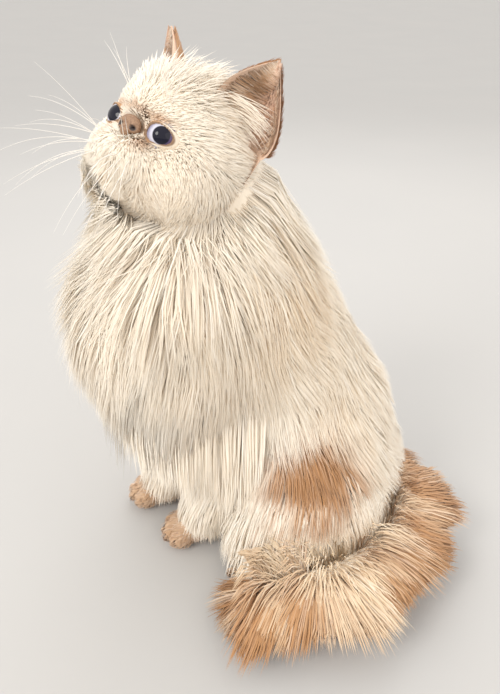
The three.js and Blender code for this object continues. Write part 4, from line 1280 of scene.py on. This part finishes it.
def nose_leather():
    """A broad low pad over a narrow foot, with a wing on each side and a nostril pressed in under it."""
    rows = [(0, 1.6, 1.6, 7.6, 3.2, 3.8, 0), (0, 0.6, -3.6, 3.6, 3.8, 3.8, 0)]
    rows += [(s * 5.2, 1.0, -1.0, 3.4, 3.6, 3.2, 0) for s in (1, -1)]
    form = Form(rows, at=NOSE_AT)
    places, faces = ball(form, NOSE_AT, 0.0, 110, 80, pole=vec(0, -1, 0), crowd=1.3)
    out = -unit(form.field(places, 0.0)[1])
    for s in (1, -1):
        slit = NOSE_AT + vec(NOSTRIL, NOSTRIL + vec(2.6, 1.6, 0.6)) * vec(s, 1, 1)
        places = places - out * (3.2 * groove(places, slit, 1.5))[:, None]
    split = NOSE_AT + vec((0, -6, 1), (0, -6, -5))
    return places - out * (0.8 * groove(places, split, 0.8))[:, None], faces


def leather_finish():
    finish = Finish("nose_leather")
    dots = finish.node("ShaderNodeTexVoronoi", finish.place(), 900.0)
    colour = finish.mix((0.38, 0.23, 0.14), (0.21, 0.12, 0.075), dots)
    # Painted shade in the nostrils, where the deep mark is set.
    colour = finish.mix(colour, (0.03, 0.02, 0.02), finish.mark("deep"))
    return finish.shade(colour, 0.42 + dots * 0.2, finish.bump(dots, 0.5, 0.0002), Specular_IOR_Level=0.5)


places, faces = nose_leather()
# The nostrils' dark is painted shade in the pressed-in holes.
holes = bumps(places, NOSE_AT + NOSTRIL + vec(1.0, 1.6, 0.2), vec(3.0, 4.2, 1.9))
nose = piece("nose_leather", in_head(places), faces, leather_finish(), "nose_skin",
             {"deep": ease(holes, 0.35, 0.7)})
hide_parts("nose")


def whisker_finish():
    finish = Finish("whisker")
    colour = finish.mix((0.95, 0.94, 0.91), (0.84, 0.79, 0.72), finish.noise(300.0))
    return finish.shade(colour, 0.35 + finish.noise(200.0) * 0.1, Specular_IOR_Level=0.5)


WHISKER_THICK, WHISKER_STEPS, OVER_BOX = 0.24, 14, 12


def whiskers(seed):
    """Round bristles from both lip pads and both brows, bowed to a fine point and kept near the box."""
    draw = np.random.default_rng(seed)
    roots, tips, bends = [], [], []
    for sign in (1, -1):
        for row, k in [(row, k) for row in range(4) for k in range(3 if row < 2 else 4)]:
            way = vec(sign * (0.4 + 0.1 * k), -0.95 + 0.1 * k, 0.3 - 0.36 * row)
            long = draw.uniform(40, 62)
            way = unit(way + 0.1 * draw.standard_normal(3))
            roots.append(vec(sign * (8 + 2.4 * k), -45 + 1.6 * k, -7 - 3.2 * row))
            tips.append(roots[-1] + way * long + vec(0, 8, -14 * draw.random()))
            bends.append(vec(0, -6, 7) * draw.uniform(0.5, 1.2))
        for k in range(4):
            way = unit(vec(sign * (0.3 + 0.12 * k), -0.8, 0.7) + 0.1 * draw.standard_normal(3))
            roots.append(vec(sign * (13 + 2 * k), -31, 22 + k % 2))
            tips.append(roots[-1] + way * draw.uniform(26, 38) + vec(0, 7, 0))
            bends.append(vec(0, -4, 4))
    roots, tips, bends = (np.array(x) for x in (roots, tips, bends))
    paths = in_head(free_hairs(HEAD.onto(roots, HEAD_SKIN)[0], tips, bends, WHISKER_STEPS))
    low, high = np.array(cad_box) / MM + [[-OVER_BOX], [OVER_BOX]]
    r = WHISKER_THICK * (1 - 0.8 * np.linspace(0, 1, WHISKER_STEPS))[:, None, None]
    shells = []
    for path in np.clip(paths, low, high):
        way = unit(np.gradient(path, axis=0))
        side = unit(np.cross(way, vec(0.1, 0.2, 1)))
        grid = path[:, None] + circle(side, np.cross(side, way), round_angles(6)) * r
        shells.append(rings_closed(grid, path[0] - way[0] * 0.5, path[-1] + way[-1]))
    return joined(*shells)


piece("whiskers", *whiskers(120), whisker_finish(), "coat_cream")


# Floor, light and camera

def floor(far=20000, flat=4000, rise=1500, rings=60, around=96):
    """A plain pale floor, flat round the cat, that rises as a wide bowl by rise·ease(r, flat, far)."""
    finish = Finish("floor")
    colour = finish.mix((0.50, 0.50, 0.50), (0.53, 0.525, 0.52), finish.noise(3.0))
    r = (far * (np.arange(1, rings + 1) / rings) ** 2)[:, None]
    a = round_angles(around)
    grid = np.stack([r * np.cos(a), r * np.sin(a), rise * ease(r, flat, far) + 0 * a], -1)
    faces = [bands(rings, around)[:, [0, 2, 1]], fan(rings * around, np.arange(around))]
    places = np.concatenate([grid.reshape(-1, 3), [(0, 0, 0)]])
    mesh = mesh_of("floor", places, np.concatenate(faces))
    mesh.materials.append(finish.shade(colour, 0.7 + finish.noise(40.0) * 0.1, Specular_IOR_Level=0.2))
    added("floor", mesh)


def lamp(name, at, size, power, colour):
    """A round soft lamp that faces the cat."""
    light = bpy.data.lights.new(name, "AREA")
    light.shape = "DISK"
    light.size = size
    light.energy = power
    light.color = colour
    made = added(name, light)
    made.location = at
    made.rotation_mode = "QUATERNION"
    made.rotation_quaternion = (Vector(at) - Vector((0, -0.05, 0.18))).to_track_quat("Z", "Y")


floor()
lamp("key", (0.8, -1.3, 1.35), 0.8, 15, (1.0, 0.96, 0.90))
lamp("fill", (1.2, 0.8, 0.8), 1.4, 3, (1.0, 0.98, 0.95))
lamp("back", (-1.0, 0.3, 1.3), 1.2, 6, (1.0, 0.98, 0.95))

scene = bpy.context.scene
scene.world = bpy.data.worlds.new("studio")
scene.world.use_nodes = True
sky = scene.world.node_tree.nodes["Background"].inputs
sky["Color"].default_value = (1.0, 0.965, 0.92, 1)
sky["Strength"].default_value = 1.2
scene.view_settings.view_transform = "Standard"
scene.cycles.diffuse_bounces = 8

CAMERA_AT = vec(365.3, -132.9, 385) * MM
RIGHT, UP = vec(0.208, 0.978, 0), vec(-0.489, 0.104, 0.866)
VIEW_HIGH, SENSOR_HIGH = 60, 24  # degrees and mm
camera = bpy.data.cameras.new("camera")
camera.sensor_fit = "VERTICAL"
camera.sensor_height = SENSOR_HIGH
camera.lens = SENSOR_HIGH / 2 / np.tan(np.radians(VIEW_HIGH / 2))
camera.clip_start = 0.01
rows = [[*row, at] for row, at in zip(np.stack([RIGHT, UP, np.cross(RIGHT, UP)], 1), CAMERA_AT)]
scene.camera = added("camera", camera)
scene.camera.matrix_world = Matrix(rows + [[0, 0, 0, 1]])
